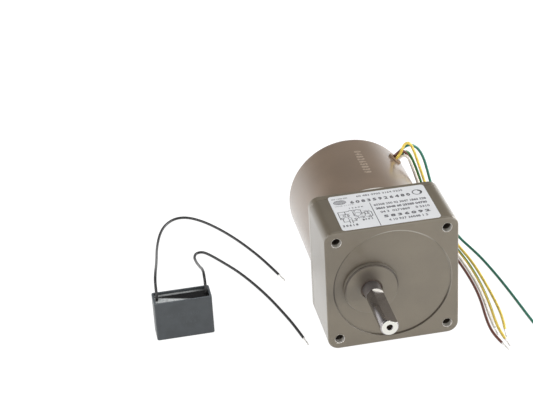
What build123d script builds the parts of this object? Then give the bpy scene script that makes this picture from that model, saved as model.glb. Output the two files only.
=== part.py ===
"""Small geared induction motor with its run capacitor and its flying leads.

A square gear case with an offset output shaft is bolted to the flange of a round motor. Three pairs of
spur gears turn the rotor down 36 to 1. Millimetres, +Z up. The origin is the centre of the gear case's
underside, -Y is the way the output shaft points, and the motor's axis is the line x = 0, z = FRAME / 2.
"""

import os
from math import acos, atan2, cos, degrees, hypot, pi, radians, sin, tan

from build123d import *

# ---- fits and clearances -------------------------------------------------------------------------
PRESS = 0.01        # radial gap left between two pieces pressed together
RUNNING = 0.03      # radial gap of a shaft turning in a bush, and of a ball in its race
SLIP = 0.2          # gap of a part that drops into its seat
CLEAR = 0.3         # the least gap between pieces that move past each other
SCREW_GAP = 0.1     # radial gap round a screw that passes through
LIP_GAP = 0.05      # radial gap between a seal's lip and its shaft

# ---- square section ------------------------------------------------------------------------------
FRAME = 60.0        # side of the square gear case and of the motor's flange
CORNER = 5.0        # radius of its corners
CASE_DEPTH = 30.0
FACE_WALL = 5.0     # gear case's front wall
CAVITY_R = 25.3     # room for the gears
RIM_R = 26.5        # opening at the gear case's back, for the cover and the motor's pilot
RIM_DEPTH = 5.0
HOLE_EDGE = 5.25    # from the square's side to the mounting holes
HOLE_R = 2.15
HOLE_CHAMFER = 0.1
RECESS_EDGE = 3.4   # from the square's side to the shallow round recess in the front face
RECESS_DEPTH = 0.7
RECESS_LIP = 0.3    # rounding of the recess's edge
EDGE = 0.9          # rounding of the gear case's front edge
SEAM_EDGE = 0.25    # chamfers where the gear case and the flange meet
BEARING_WALL = 2.4  # wall round the seat of the output shaft's front bearing

# ---- output shaft --------------------------------------------------------------------------------
SHAFT_OFFSET = 10.0
SHAFT_R = 4.0       # free end
SHAFT_REACH = 33.0  # from the mounting face to the shaft's tip
FLAT_LENGTH = 25.0
FLAT_EASE = 0.01    # how much less the shaft's radius is along the flat
FLAT_ACROSS = 7.0   # from the flat to the far side
FLAT_TURN = 22.0    # the flat looks up and this many degrees to the right
TIP_CHAMFER = 0.5
CENTRE_R = 1.15     # centre drilling in the tip
CENTRE_DEPTH = 3.0
CENTRE_RIM = 0.35   # its chamfer
BOSS_R = 12.2
BOSS_HEIGHT = 1.7
BOSS_EDGE = 0.5
JOURNAL_R = 4.5     # where the front bearing sits and the seal's lip runs
JOURNAL_LEAD = 0.3  # journal in front of the seal
SHAFT_GAP = 0.35    # open ring round the journal in the boss
GEAR_SEAT_R = 4.5
SHOULDER = 0.8      # step between the gear's seat and the collar in front of it
REAR_SEAT_R = 2.5
REAR_STEP = 0.7     # step from the rear bearing's seat up to the sleeve's
SPACER_WALL = 1.0

# ---- gears: teeth, module, and the depth where each pair runs ---------------------------------------
PRESSURE_ANGLE = 20.0
SHIFT = 0.3         # profile shift, plus on a pinion and minus on its wheel
BACKLASH = 0.08     # of each pair, at the pitch circle
ROOT_DEPTH = 1.25   # of a tooth below the pitch circle, in modules
FIRST = dict(module=0.45, teeth=(12, 45))
SECOND = dict(module=0.5, teeth=(15, 48))
THIRD = dict(module=0.75, teeth=(12, 36))
WHEEL_WIDTH = 2.8
WHEEL_GAPS = (1.6, 1.0, 0.8)    # behind the first wheel, the second wheel and the output gear
OUTPUT_GEAR_GAP = 2.2   # from the front bearing to the output gear
HUB_STEP = 0.3      # how far a wheel's hub stands out from its face
HUB_WALL = 1.5      # hub round the bore of the first and the second wheel
OUTPUT_HUB_WALL = 2.5
SECOND_ARBOR_TURN = -40.0   # direction from the output shaft to the second arbor, in degrees
ARBOR_R = 1.5       # journals
FIRST_BODY_R = 2.0
SECOND_BODY_R = 2.5
BUSH_R = 2.5
BUSH_LENGTH = 3.2
KEY_SIDE = 2.0
KEY_INSET = 1.0     # from the output gear's front to the key

# ---- gear cover ----------------------------------------------------------------------------------
COVER_THICK = 2.5
COVER_LIP = 0.6     # lip behind the rear output bearing
COVER_WALL = 1.4    # walls round the seats in the cover
PINION_ROOM = 0.5   # round the motor's pinion where it passes through
COVER_SCREW_R = 1.0
COVER_SCREW_LENGTH = 6.0
COVER_SCREW_EDGE = 2.0  # from the cavity's wall to the screws
COVER_SCREW_TURNS = (60.0, 120.0, 230.0, 327.0)
COVER_POST_R = 2.4
RECESS_SHARE = 0.5  # a screw's cross recess: its depth, as a share of the screw's radius

# ---- bearings: bore radius, outer radius, width. A ball is a fifth of the pitch circle's radius ------
OUTPUT_FRONT = dict(bore=JOURNAL_R, outer=8.5, width=5.0)
OUTPUT_REAR = dict(bore=REAR_SEAT_R, outer=5.5, width=4.0)
ROTOR_BEARING = dict(bore=3.5, outer=7.0, width=5.0)
BALLS = 9
BALL_SHARE = 0.2
RACE_SHARE = 0.38   # each ring's thickness, as a share of the space between bore and outside
CAGE_HALF = 0.3     # half the cage's thickness
CAGE_BRIM = 0.55    # cage past the balls, on each side
SEAL_WIDTH = 1.9
SEAL_R = 6.5
SEAL_INSET = 0.7    # room for the retaining ring between the seal and the bearing
OUTPUT_BEARING_DEPTH = 1.8  # from the mounting face to the output shaft's front bearing
CIRCLIP_R = 6.0
CIRCLIP_THICK = 0.6
CIRCLIP_GROOVE = 0.3    # depth of its groove in the shaft

# ---- motor ---------------------------------------------------------------------------------------
FLANGE_THICK = 3.3
REGISTER_EDGE = 0.15    # from the square's side to the round register behind the flange
REGISTER_HEIGHT = 1.0
DRUM_EDGE = 0.5     # from the square's side to the housing
DRUM_WALL = 1.8
DRUM_END = 85.3     # from the mounting face to the motor's rear rim
RIM_THICK = 1.3     # visible edge of the rear bracket
RIM_STEP = 0.25     # how much smaller its radius is than the housing's
SPIGOT_WALL = 4.8
SPIGOT_LENGTH = 2.2
HUB_WALL_R = 3.0    # wall round the rotor bearings' seats
FRONT_SEAT_DEPTH = 2.0  # from the gear case's back to the rotor's front bearing
REAR_SEAT_DEPTH = 6.0   # from the motor's rear rim to the front of its rear bearing
SPRING_ROOM = 0.6   # behind the rear bearing, for the wave spring
SHAFT_ROOM = 0.6    # round the rotor's shaft, behind the spring and in the pilot
PILOT_HEIGHT = 2.2
PINION_SEAL_R = 5.5
HOUSING_GAP = 0.2   # seam between the housing and the rear bracket's rim
HOUSING_EDGE = 0.4
BRACKET_EDGE = 0.5
DOME_EDGE = 8.0     # from the housing's outside to the low cone on the rear bracket
DOME_TOP_R = 11.5
DOME_HEIGHT = 2.0
CORE_LENGTH = 26.0
CORE_START = 46.0   # from the mounting face to the stator's front
AIR_GAP = 0.3
SLOTS = 24
SLOT_WIDTH = 3.0
SLOT_DEPTH = 4.9
SLOT_LIP = 1.4      # from the stator's bore to the slots
YOKE = 5.4          # from the housing's bore to the slots
SLOT_MOUTH = 1.5
LINER_THICK = 0.2
COIL_WIDTH = 2.4
LINER_OVERHANG = 0.8
COIL_GAP = 0.15     # between a coil and its liner
COIL_TOP = 0.5      # from the slot's mouth to the coil
OVERHANG = 8.2      # the coils' end-turns past the core
TURNS_START = 1.2   # from the core to the main coils' end-turns
TURNS_SHIFT = 2.2   # the main coils' end-turns stop this much before the auxiliary coils' do
AUX_DEPTH = 1.9     # depth of the auxiliary coils' end-turns along the axis
OUTER_THROW = 5     # slots from one side of a wide and of a narrow coil to the other
INNER_THROW = 3
TURNS_OUTER = (3.7, 1.9)    # from the housing's bore to the end-turns of the wide main coils
TURNS_INNER = (5.5, 3.9)    # the same for the narrow ones
POLES = 4
BARS = 17
BAR_R = 1.3
BAR_EDGE = 2.3      # from the stator's bore to the bars' circle
END_RING_LENGTH = 3.5
END_RING_BRIM = 0.3 # end ring past the bars, outwards
VANES = 9
VANE_HEIGHT = 2.4
VANE_THICK = 1.2
ROTOR_BODY_R = 4.2
PINION_NECK = 1.0   # how far the motor's pinion is cut past the gear cover's front
BOLT_R = 1.5
BOLT_EDGE = 2.4     # from the housing's bore to the bolts
BOLT_HEAD_R = 2.75
BOLT_HEAD_HEIGHT = 2.0
BOLT_HEAD_EDGE = 0.6
BOLT_SINK = 0.6     # depth of the heads' seats
BOLT_TIP_GAP = 0.5  # thread left free in front of the long bolts
FLANGE_SKIN = 0.8   # left in front of the long bolts' holes
ASSEMBLY_SCREW_R = 1.25
ASSEMBLY_SCREW_LENGTH = 9.0
ASSEMBLY_HEAD_R = 2.1
ASSEMBLY_HEAD_SINK = 1.3
ASSEMBLY_HEAD_LOW = 0.1 # how far the heads lie below the flange
ASSEMBLY_SHIFT = 5.15   # from a mounting hole to the screw beside it, along the square's side
ASSEMBLY_EDGE = 2.8     # from the square's side

# ---- leads of the motor ----------------------------------------------------------------------------
LEAD_R = 0.65
TIP_R = 0.4
TIP_LENGTH = 6.0
EXIT_TURN = 45.0    # where the leads leave the housing, in degrees above +X
EXIT_EDGE = 10.3    # from the motor's rear rim
GROMMET_STANDS = 0.9056 # from the housing's outside to the grommet's outer face
GROMMET_R = 3.4
GROMMET_NECK_R = 2.9
GROMMET_INSIDE = 0.7    # neck inside the housing
GROMMET_EDGE = 0.35

# ---- nameplate -----------------------------------------------------------------------------------
LABEL_WIDTH = 44.0
LABEL_FRONT = 0.6   # from the front face to the label
LABEL_REAR = 2.2    # from the label to the flange's back
LABEL_SHIFT = 0.4   # to the right of the middle
LABEL_THICK = 0.15
LABEL_CORNER = 1.6

# ---- capacitor -----------------------------------------------------------------------------------
CAP_SIZE = (26.5, 10.5, 19.5)
CAP_CORNER = (-103.6, 12.9)     # front left corner of its underside
CAP_WALL = 0.9
CAP_RECESS = 1.2
CAP_CORNER_R = 1.0
CAP_EDGE = 0.3
WINDING_GAP = 0.6   # resin round the winding
WINDING_LOW = 0.3   # resin under it
WINDING_DEPTH = 2.2 # resin over it
SPRAY = 0.8         # metal sprayed on the winding's ends

# ---- worked out from the above ---------------------------------------------------------------------
AXIS_Z = FRAME / 2
FACE = -CASE_DEPTH / 2
BACK = CASE_DEPTH / 2
WALL_BACK = FACE + FACE_WALL
HOLE_PITCH = FRAME - 2 * HOLE_EDGE
RECESS_R = FRAME / 2 - RECESS_EDGE
REGISTER_R = FRAME / 2 - REGISTER_EDGE
DRUM_R = FRAME / 2 - DRUM_EDGE
COVER_SCREW_CIRCLE = CAVITY_R - COVER_SCREW_EDGE
COVER_FRONT = BACK - RIM_DEPTH
COVER_BACK = COVER_FRONT + COVER_THICK
FLANGE_BACK = BACK + FLANGE_THICK
DRUM_FRONT = FLANGE_BACK + REGISTER_HEIGHT
DRUM_BACK = FACE + DRUM_END
EXIT_Y = DRUM_BACK - EXIT_EDGE
DRUM_BORE_R = DRUM_R - DRUM_WALL
DOME_R = DRUM_R - DOME_EDGE
EXIT_R = DRUM_R + GROMMET_STANDS
SLOT_BOTTOM_R = DRUM_BORE_R - YOKE
SLOT_TOP_R = SLOT_BOTTOM_R - SLOT_DEPTH
BORE_R = SLOT_TOP_R - SLOT_LIP
BAR_CIRCLE_R = BORE_R - BAR_EDGE
OUTER_SPAN = OUTER_THROW * 180 / SLOTS  # half the span of a coil, in degrees
INNER_SPAN = INNER_THROW * 180 / SLOTS
BOLT_CIRCLE_R = DRUM_BORE_R - BOLT_EDGE
MAIN_OUTER = [DRUM_BORE_R - inset for inset in TURNS_OUTER]
MAIN_INNER = [DRUM_BORE_R - inset for inset in TURNS_INNER]
ASSEMBLY_PLACE = (ASSEMBLY_SHIFT - HOLE_PITCH / 2, FRAME / 2 - ASSEMBLY_EDGE)
CORE_FRONT = FACE + CORE_START
CORE_BACK = CORE_FRONT + CORE_LENGTH
HUB_R = ROTOR_BEARING["outer"] + HUB_WALL_R
FRONT_BEARING_Y = BACK + FRONT_SEAT_DEPTH
REAR_BEARING_Y = DRUM_BACK - REAR_SEAT_DEPTH
OUTPUT_BEARING_Y = FACE + OUTPUT_BEARING_DEPTH
SEAL_FRONT = OUTPUT_BEARING_Y - SEAL_INSET - SEAL_WIDTH
OUTPUT_REAR_Y = COVER_BACK - COVER_LIP - OUTPUT_REAR["width"]
BUSH_FRONT = WALL_BACK - BUSH_LENGTH
BUSH_REAR = COVER_BACK - BUSH_LENGTH

# How far a cut runs past the face that it opens, how far joined pieces run into each other, and how
# near an edge lies to the plane that it is picked by
PAST = 1.0
JOIN = 0.1
NEAR = 0.01

MOTOR_AXIS = (0.0, AXIS_Z)
OUTPUT_AXIS = (-SHAFT_OFFSET, AXIS_Z)


def centre_distance(pair):
    """Distance between the axes of a pinion and its wheel."""
    return pair["module"] * sum(pair["teeth"]) / 2


def arbor_places():
    """Where the first and the second arbor stand, so that all three pairs are in mesh."""
    third, second, first = (centre_distance(p) for p in (THIRD, SECOND, FIRST))
    turn = radians(SECOND_ARBOR_TURN)
    b = (OUTPUT_AXIS[0] + third * cos(turn), OUTPUT_AXIS[1] + third * sin(turn))
    reach = hypot(b[0], b[1] - AXIS_Z)
    turn_b = atan2(b[1] - AXIS_Z, b[0])
    between = acos((first ** 2 + reach ** 2 - second ** 2) / (2 * first * reach))
    a = (first * cos(turn_b + between), AXIS_Z + first * sin(turn_b + between))
    return a, b


FIRST_ARBOR, SECOND_ARBOR = arbor_places()

# Depths of the gear pairs, from the back of the gear case's cavity to its front
FIRST_WHEEL_BACK = COVER_FRONT - WHEEL_GAPS[0]
FIRST_WHEEL_FRONT = FIRST_WHEEL_BACK - WHEEL_WIDTH
SECOND_WHEEL_BACK = FIRST_WHEEL_FRONT - WHEEL_GAPS[1]
SECOND_WHEEL_FRONT = SECOND_WHEEL_BACK - WHEEL_WIDTH
OUTPUT_GEAR_BACK = SECOND_WHEEL_FRONT - WHEEL_GAPS[2]
OUTPUT_GEAR_FRONT = OUTPUT_BEARING_Y + OUTPUT_FRONT["width"] + OUTPUT_GEAR_GAP


# ---- helpers ---------------------------------------------------------------------------------------
OUTWARDS = (Align.CENTER, Align.CENTER, Align.MIN)
INWARDS = (Align.CENTER, Align.CENTER, Align.MAX)


def facing(y, at=MOTOR_AXIS, turn=0.0):
    """A plane that looks towards -Y, with its x to the right and its y up."""
    return Plane(origin=(at[0], y, at[1]), x_dir=(1, 0, 0), z_dir=(0, -1, 0)) * Rot(0, 0, turn)


def along(sketch, front, back, at=MOTOR_AXIS, turn=0.0):
    """Extrudes a sketch from y = back to y = front, about the axis at (x, z)."""
    return extrude(facing(back, at, turn) * sketch, amount=back - front)


def disc(r, front, back, at=MOTOR_AXIS):
    return along(Circle(r), front, back, at)


def ring(r_in, r_out, front, back, at=MOTOR_AXIS):
    return along(Circle(r_out) - Circle(r_in), front, back, at)


def cone(r_front, r_back, front, back, at=MOTOR_AXIS):
    """A cone along Y, from r_front at y = front to r_back at y = back."""
    place = Plane(origin=(at[0], (front + back) / 2, at[1]), x_dir=(1, 0, 0), z_dir=(0, -1, 0))
    return place * Cone(r_back, r_front, back - front)


def edges_at(body, y):
    """A body's edges that lie in the plane at y."""
    return body.edges().filter_by_position(Axis.Y, y - NEAR, y + NEAR)


def polar(r, turn, about=MOTOR_AXIS):
    """The (x, z) at radius r and an angle in degrees about an axis."""
    return about[0] + r * cos(radians(turn)), about[1] + r * sin(radians(turn))


def corners(pitch=HOLE_PITCH):
    """The (x, z) of the four mounting holes."""
    half = pitch / 2
    return [(i * half, AXIS_Z + j * half) for i in (-1, 1) for j in (-1, 1)]


def group(solids):
    """Separate solids that belong to one node."""
    return Compound(list(solids))


# ---- gears -----------------------------------------------------------------------------------------
def involute(angle):
    return tan(angle) - angle


def gear_sketch(module, teeth, shift):
    """Involute teeth: an arc through three points of the involute for each flank, a line below it."""
    pitch_r = module * teeth / 2
    base_r = pitch_r * cos(radians(PRESSURE_ANGLE))
    tip_r = pitch_r + module * (1 + shift)
    root_r = pitch_r - module * (ROOT_DEPTH - shift)
    start_r = max(base_r, root_r)
    half = (pi / 2 + 2 * shift * tan(radians(PRESSURE_ANGLE)) - BACKLASH / 2 / module) / teeth
    half += involute(radians(PRESSURE_ANGLE))

    def at(r, angle):
        return r * cos(angle), r * sin(angle)

    def flank(r):
        return half - involute(acos(min(1.0, base_r / r)))

    edges = []
    for tooth in range(teeth):
        middle = 2 * pi * tooth / teeth
        radii = (start_r, (start_r + tip_r) / 2, tip_r)
        for side in (-1, 1):
            low, mid, high = (at(r, middle + side * flank(r)) for r in radii)
            edges.append(ThreePointArc(low, mid, high))
            if base_r > root_r:
                edges.append(Line(at(root_r, middle + side * half), low))
        edges.append(ThreePointArc(at(tip_r, middle - flank(tip_r)), at(tip_r, middle),
                                   at(tip_r, middle + flank(tip_r))))
        root_side, gap = flank(max(root_r, base_r)), middle + pi / teeth
        edges.append(ThreePointArc(at(root_r, middle + root_side), at(root_r, gap),
                                   at(root_r, middle + 2 * pi / teeth - root_side)))
    return make_face(edges)


def mesh_turn(pinion_at, wheel_at):
    """Direction from a pinion's axis to its wheel's, in degrees."""
    return degrees(atan2(wheel_at[1] - pinion_at[1], wheel_at[0] - pinion_at[0]))


def pinion_teeth(pair, front, back, at, wheel_at):
    """A pinion with one tooth on the line of centres."""
    sketch = gear_sketch(pair["module"], pair["teeth"][0], SHIFT)
    return along(sketch, front, back, at, mesh_turn(at, wheel_at))


def wheel_teeth(pair, front, back, at, pinion_at):
    """A wheel with one gap on the line of centres."""
    sketch = gear_sketch(pair["module"], pair["teeth"][1], -SHIFT)
    return along(sketch, front, back, at, mesh_turn(at, pinion_at) + 180 / pair["teeth"][1])


def wheel(pair, front, back, at, pinion_at, bore_r, hub_r):
    """A wheel with a hub that stands out on both sides and a bore pressed on its arbor."""
    body = wheel_teeth(pair, front, back, at, pinion_at)
    body += disc(hub_r, front - HUB_STEP, back + HUB_STEP, at)
    return body - disc(bore_r + PRESS, front - PAST, back + PAST, at)


# ---- ball bearings ---------------------------------------------------------------------------------
def bearing_radii(bearing):
    """Outside of the inner ring, inside of the outer ring, pitch circle and ball."""
    space = bearing["outer"] - bearing["bore"]
    pitch_r = bearing["bore"] + space / 2
    wall = space * RACE_SHARE
    return bearing["bore"] + wall, bearing["outer"] - wall, pitch_r, pitch_r * BALL_SHARE


def race(bearing, front, at):
    """The groove that both rings have: a torus about the bearing's axis."""
    _, _, pitch_r, ball_r = bearing_radii(bearing)
    middle = front + bearing["width"] / 2
    place = Plane(origin=(at[0], middle, at[1]), x_dir=(1, 0, 0), z_dir=(0, -1, 0))
    return place * Torus(pitch_r, ball_r + RUNNING)


def inner_ring(bearing, front, at):
    inside, _, _, _ = bearing_radii(bearing)
    body = ring(bearing["bore"] + PRESS, inside, front, front + bearing["width"], at)
    return body - race(bearing, front, at)


def outer_ring(bearing, front, at):
    _, outside, _, _ = bearing_radii(bearing)
    body = ring(outside, bearing["outer"] - PRESS, front, front + bearing["width"], at)
    return body - race(bearing, front, at)


def balls(bearing, front, at):
    _, _, pitch_r, ball_r = bearing_radii(bearing)
    middle = front + bearing["width"] / 2
    places = [polar(pitch_r, 360 * i / BALLS, at) for i in range(BALLS)]
    return [Pos(x, middle, z) * Sphere(ball_r) for x, z in places]


def cage(bearing, front, at):
    """A ring on the pitch circle with a round pocket for each ball."""
    _, _, pitch_r, ball_r = bearing_radii(bearing)
    middle = front + bearing["width"] / 2
    half = ball_r + CAGE_BRIM
    body = ring(pitch_r - CAGE_HALF, pitch_r + CAGE_HALF, middle - half, middle + half, at)
    for i in range(BALLS):
        turn = radians(360 * i / BALLS)
        pocket = Plane(origin=(at[0], middle, at[1]), z_dir=(cos(turn), 0, sin(turn)))
        body -= pocket * Cylinder(ball_r + RUNNING, pitch_r + PAST, align=OUTWARDS)
    return body


# ---- gear case and what it holds -----------------------------------------------------------------------
def gear_case():
    """Die-cast case: square outside, round cavity, offset boss with the front bearing's seat."""
    outline = RectangleRounded(FRAME, FRAME, CORNER)
    body = along(outline, FACE, BACK)
    body = chamfer(edges_at(body, BACK), SEAM_EDGE)
    body = fillet(edges_at(body, FACE), EDGE)
    body -= disc(RECESS_R, FACE - PAST, FACE + RECESS_DEPTH)
    body = fillet(edges_at(body, FACE).sort_by(SortBy.LENGTH)[-1], RECESS_LIP)
    boss_front = FACE - BOSS_HEIGHT
    boss = disc(BOSS_R, boss_front, WALL_BACK - PAST, OUTPUT_AXIS)
    body += fillet(edges_at(boss, boss_front), BOSS_EDGE)
    body -= disc(CAVITY_R, WALL_BACK, BACK + PAST)
    body -= disc(RIM_R, COVER_FRONT, BACK + PAST)
    seat_r = OUTPUT_FRONT["outer"]
    seat_back = OUTPUT_BEARING_Y + OUTPUT_FRONT["width"]
    body += disc(seat_r + BEARING_WALL, WALL_BACK - PAST, seat_back, OUTPUT_AXIS)
    for turn in COVER_SCREW_TURNS:
        body += cover_post(turn)
    body -= disc(seat_r, OUTPUT_BEARING_Y, seat_back + PAST, OUTPUT_AXIS)
    body -= disc(SEAL_R, SEAL_FRONT, OUTPUT_BEARING_Y, OUTPUT_AXIS)
    body -= disc(JOURNAL_R + SHAFT_GAP, boss_front - PAST, OUTPUT_BEARING_Y, OUTPUT_AXIS)
    for arbor in (FIRST_ARBOR, SECOND_ARBOR):
        body -= disc(BUSH_R, BUSH_FRONT, WALL_BACK, arbor)
    for at in corners():
        body -= disc(HOLE_R, FACE - PAST, BACK + PAST, at)
        body -= cone(HOLE_R + HOLE_CHAMFER, HOLE_R, FACE, FACE + HOLE_CHAMFER, at)
    for turn in COVER_SCREW_TURNS:
        at = polar(COVER_SCREW_CIRCLE, turn)
        depth = COVER_BACK - COVER_SCREW_LENGTH - PAST
        body -= disc(COVER_SCREW_R + PRESS, depth, BACK, at)
    for at in assembly_places():
        body -= disc(ASSEMBLY_SCREW_R + PRESS, FLANGE_BACK - ASSEMBLY_SCREW_LENGTH - PAST, BACK + PAST, at)
    return body


def cover_post(turn):
    """A post on the cavity's wall that takes one of the cover's screws."""
    post = Circle(COVER_POST_R) + Pos(COVER_POST_R, 0) * Rectangle(2 * COVER_POST_R, 2 * COVER_POST_R)
    at = polar(COVER_SCREW_CIRCLE, turn)
    return along(post, WALL_BACK - PAST, COVER_FRONT, at, turn) & disc(CAVITY_R + PAST, FACE, BACK)


def gear_cover():
    """Plate that closes the gears and carries the arbors' rear bushes and the rear output bearing."""
    body = disc(RIM_R - SLIP, COVER_FRONT, COVER_BACK)
    body += disc(OUTPUT_REAR["outer"] + COVER_WALL, OUTPUT_REAR_Y, COVER_BACK, OUTPUT_AXIS)
    for arbor in (FIRST_ARBOR, SECOND_ARBOR):
        body += disc(BUSH_R + COVER_WALL, BUSH_REAR, COVER_BACK, arbor)
        body -= disc(BUSH_R, BUSH_REAR - PAST, COVER_BACK + PAST, arbor)
    seat_back = OUTPUT_REAR_Y + OUTPUT_REAR["width"]
    body -= disc(OUTPUT_REAR["outer"], OUTPUT_REAR_Y - PAST, seat_back, OUTPUT_AXIS)
    body -= disc(bearing_radii(OUTPUT_REAR)[0], seat_back - PAST, COVER_BACK + PAST, OUTPUT_AXIS)
    body -= disc(motor_pinion_r() + PINION_ROOM, OUTPUT_REAR_Y - PAST, COVER_BACK + PAST)
    for turn in COVER_SCREW_TURNS:
        at = polar(COVER_SCREW_CIRCLE, turn)
        body -= disc(COVER_SCREW_R + SCREW_GAP, COVER_FRONT - PAST, COVER_BACK + PAST, at)
        sink = COVER_SCREW_R + SCREW_GAP
        body -= cone(COVER_SCREW_R, COVER_SCREW_R + sink, COVER_BACK - sink, COVER_BACK, at)
    return body


def motor_pinion_r():
    """Tip radius of the pinion on the rotor's shaft."""
    return FIRST["module"] * (FIRST["teeth"][0] / 2 + 1 + SHIFT)


def cover_screw(turn):
    """Countersunk screw with a cross recess."""
    at = polar(COVER_SCREW_CIRCLE, turn)
    head_front = COVER_BACK - COVER_SCREW_R
    body = disc(COVER_SCREW_R, COVER_BACK - COVER_SCREW_LENGTH, head_front + JOIN, at)
    body += cone(COVER_SCREW_R, 2 * COVER_SCREW_R, head_front, COVER_BACK, at)
    return body - cross_recess(COVER_BACK, COVER_SCREW_R, at)


def cross_recess(y, reach, at):
    """The cut of a crosshead driver, into a face that looks towards +Y."""
    bar = Rectangle(2 * reach, reach / 2.2)
    return along(bar + Rot(0, 0, 90) * bar, y - RECESS_SHARE * reach, y + PAST, at)


def cover_screws():
    return group(cover_screw(turn) for turn in COVER_SCREW_TURNS)


def arbor_bushes():
    """Sintered bushes: two in the front wall and two in the cover."""
    places = [(arbor, front) for arbor in (FIRST_ARBOR, SECOND_ARBOR) for front in (BUSH_FRONT, BUSH_REAR)]
    return group(ring(ARBOR_R + RUNNING, BUSH_R - PRESS, y, y + BUSH_LENGTH, at) for at, y in places)


def arbor(body_r, at):
    """Arbor with a thicker middle between its two journals."""
    front, back = WALL_BACK + CLEAR, BUSH_REAR - CLEAR
    body = disc(ARBOR_R, BUSH_FRONT + CLEAR, COVER_BACK - CLEAR, at)
    return body + disc(body_r, front, back, at)


def first_pinion_shaft():
    teeth = pinion_teeth(SECOND, SECOND_WHEEL_FRONT - HUB_STEP, FIRST_WHEEL_FRONT - HUB_STEP,
                         FIRST_ARBOR, SECOND_ARBOR)
    return arbor(FIRST_BODY_R, FIRST_ARBOR) + teeth


def second_pinion_shaft():
    teeth = pinion_teeth(THIRD, OUTPUT_GEAR_FRONT - HUB_STEP, SECOND_WHEEL_FRONT - HUB_STEP,
                         SECOND_ARBOR, OUTPUT_AXIS)
    return arbor(SECOND_BODY_R, SECOND_ARBOR) + teeth


def first_gear():
    return wheel(FIRST, FIRST_WHEEL_FRONT, FIRST_WHEEL_BACK, FIRST_ARBOR, MOTOR_AXIS,
                 FIRST_BODY_R, FIRST_BODY_R + HUB_WALL)


def second_gear():
    return wheel(SECOND, SECOND_WHEEL_FRONT, SECOND_WHEEL_BACK, SECOND_ARBOR, FIRST_ARBOR,
                 SECOND_BODY_R, SECOND_BODY_R + HUB_WALL)


# ---- output shaft ----------------------------------------------------------------------------------
def key_cut(gap):
    """The space of the output gear's key, with a gap all round."""
    side = KEY_SIDE + 2 * gap
    top = GEAR_SEAT_R + KEY_SIDE / 2 + gap
    sketch = Pos(0, top - KEY_SIDE / 2 - gap) * Rectangle(side, side)
    return along(sketch, OUTPUT_GEAR_FRONT + KEY_INSET - gap, OUTPUT_GEAR_BACK, OUTPUT_AXIS)


def output_gear():
    body = wheel_teeth(THIRD, OUTPUT_GEAR_FRONT, OUTPUT_GEAR_BACK, OUTPUT_AXIS, SECOND_ARBOR)
    body += disc(GEAR_SEAT_R + OUTPUT_HUB_WALL, OUTPUT_GEAR_FRONT - HUB_STEP, OUTPUT_GEAR_BACK, OUTPUT_AXIS)
    body -= disc(GEAR_SEAT_R + PRESS, OUTPUT_GEAR_FRONT - PAST, OUTPUT_GEAR_BACK + PAST, OUTPUT_AXIS)
    slot = Pos(0, GEAR_SEAT_R) * Rectangle(KEY_SIDE + 2 * PRESS, KEY_SIDE + 2 * PRESS)
    return body - along(slot, OUTPUT_GEAR_FRONT - PAST, OUTPUT_GEAR_BACK + PAST, OUTPUT_AXIS)


def output_key():
    return key_cut(0.0)


def output_shaft():
    """Stepped shaft with a flat on its free end and a centre drilling in its tip."""
    shoulder = OUTPUT_BEARING_Y + OUTPUT_FRONT["width"]
    journal = SEAL_FRONT - JOURNAL_LEAD
    body = free_end() + disc(SHAFT_R, FACE - SHAFT_REACH + FLAT_LENGTH, journal, OUTPUT_AXIS)
    body += disc(JOURNAL_R, journal, shoulder, OUTPUT_AXIS)
    body += disc(GEAR_SEAT_R + SHOULDER, shoulder, OUTPUT_GEAR_FRONT - HUB_STEP, OUTPUT_AXIS)
    body += disc(GEAR_SEAT_R, shoulder, OUTPUT_GEAR_BACK, OUTPUT_AXIS)
    body += disc(REAR_SEAT_R + REAR_STEP, OUTPUT_GEAR_BACK, OUTPUT_REAR_Y, OUTPUT_AXIS)
    body += disc(REAR_SEAT_R, OUTPUT_REAR_Y, OUTPUT_REAR_Y + OUTPUT_REAR["width"], OUTPUT_AXIS)
    groove = OUTPUT_BEARING_Y - CIRCLIP_THICK
    body -= ring(JOURNAL_R - CIRCLIP_GROOVE, JOURNAL_R + PAST, groove, OUTPUT_BEARING_Y, OUTPUT_AXIS)
    return body - key_cut(PRESS)


def free_end():
    """The flatted end of the output shaft: its round surface starts and ends at the flat."""
    tip = FACE - SHAFT_REACH
    round_bar = Rot(0, 0, 90) * Circle(SHAFT_R - FLAT_EASE)
    body = along(round_bar, tip, tip + FLAT_LENGTH, OUTPUT_AXIS, -FLAT_TURN)
    body = chamfer(edges_at(body, tip), TIP_CHAMFER)
    flat = Pos(0, FLAT_ACROSS) * Rectangle(4 * SHAFT_R, 2 * SHAFT_R)
    body -= along(flat, tip - PAST, tip + FLAT_LENGTH + PAST, OUTPUT_AXIS, -FLAT_TURN)
    body -= disc(CENTRE_R, tip - PAST, tip + CENTRE_DEPTH, OUTPUT_AXIS)
    return body - cone(CENTRE_R + CENTRE_RIM, CENTRE_R, tip, tip + CENTRE_RIM, OUTPUT_AXIS)


def output_spacer():
    """Sleeve between the output gear and the rear bearing."""
    bore = REAR_SEAT_R + REAR_STEP + PRESS
    return ring(bore, bore + SPACER_WALL, OUTPUT_GEAR_BACK, OUTPUT_REAR_Y, OUTPUT_AXIS)


def output_circlip():
    """Open retaining ring in front of the output shaft's front bearing."""
    groove = OUTPUT_BEARING_Y - CIRCLIP_THICK
    body = ring(JOURNAL_R - CIRCLIP_GROOVE + PRESS, CIRCLIP_R, groove, OUTPUT_BEARING_Y, OUTPUT_AXIS)
    mouth = Pos(0, -CIRCLIP_R) * Rectangle(1.4 * JOURNAL_R, 2 * CIRCLIP_R)
    return body - along(mouth, groove - PAST, OUTPUT_BEARING_Y + PAST, OUTPUT_AXIS)


def output_seal():
    return ring(JOURNAL_R + LIP_GAP, SEAL_R - PRESS, SEAL_FRONT, SEAL_FRONT + SEAL_WIDTH, OUTPUT_AXIS)


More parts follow.
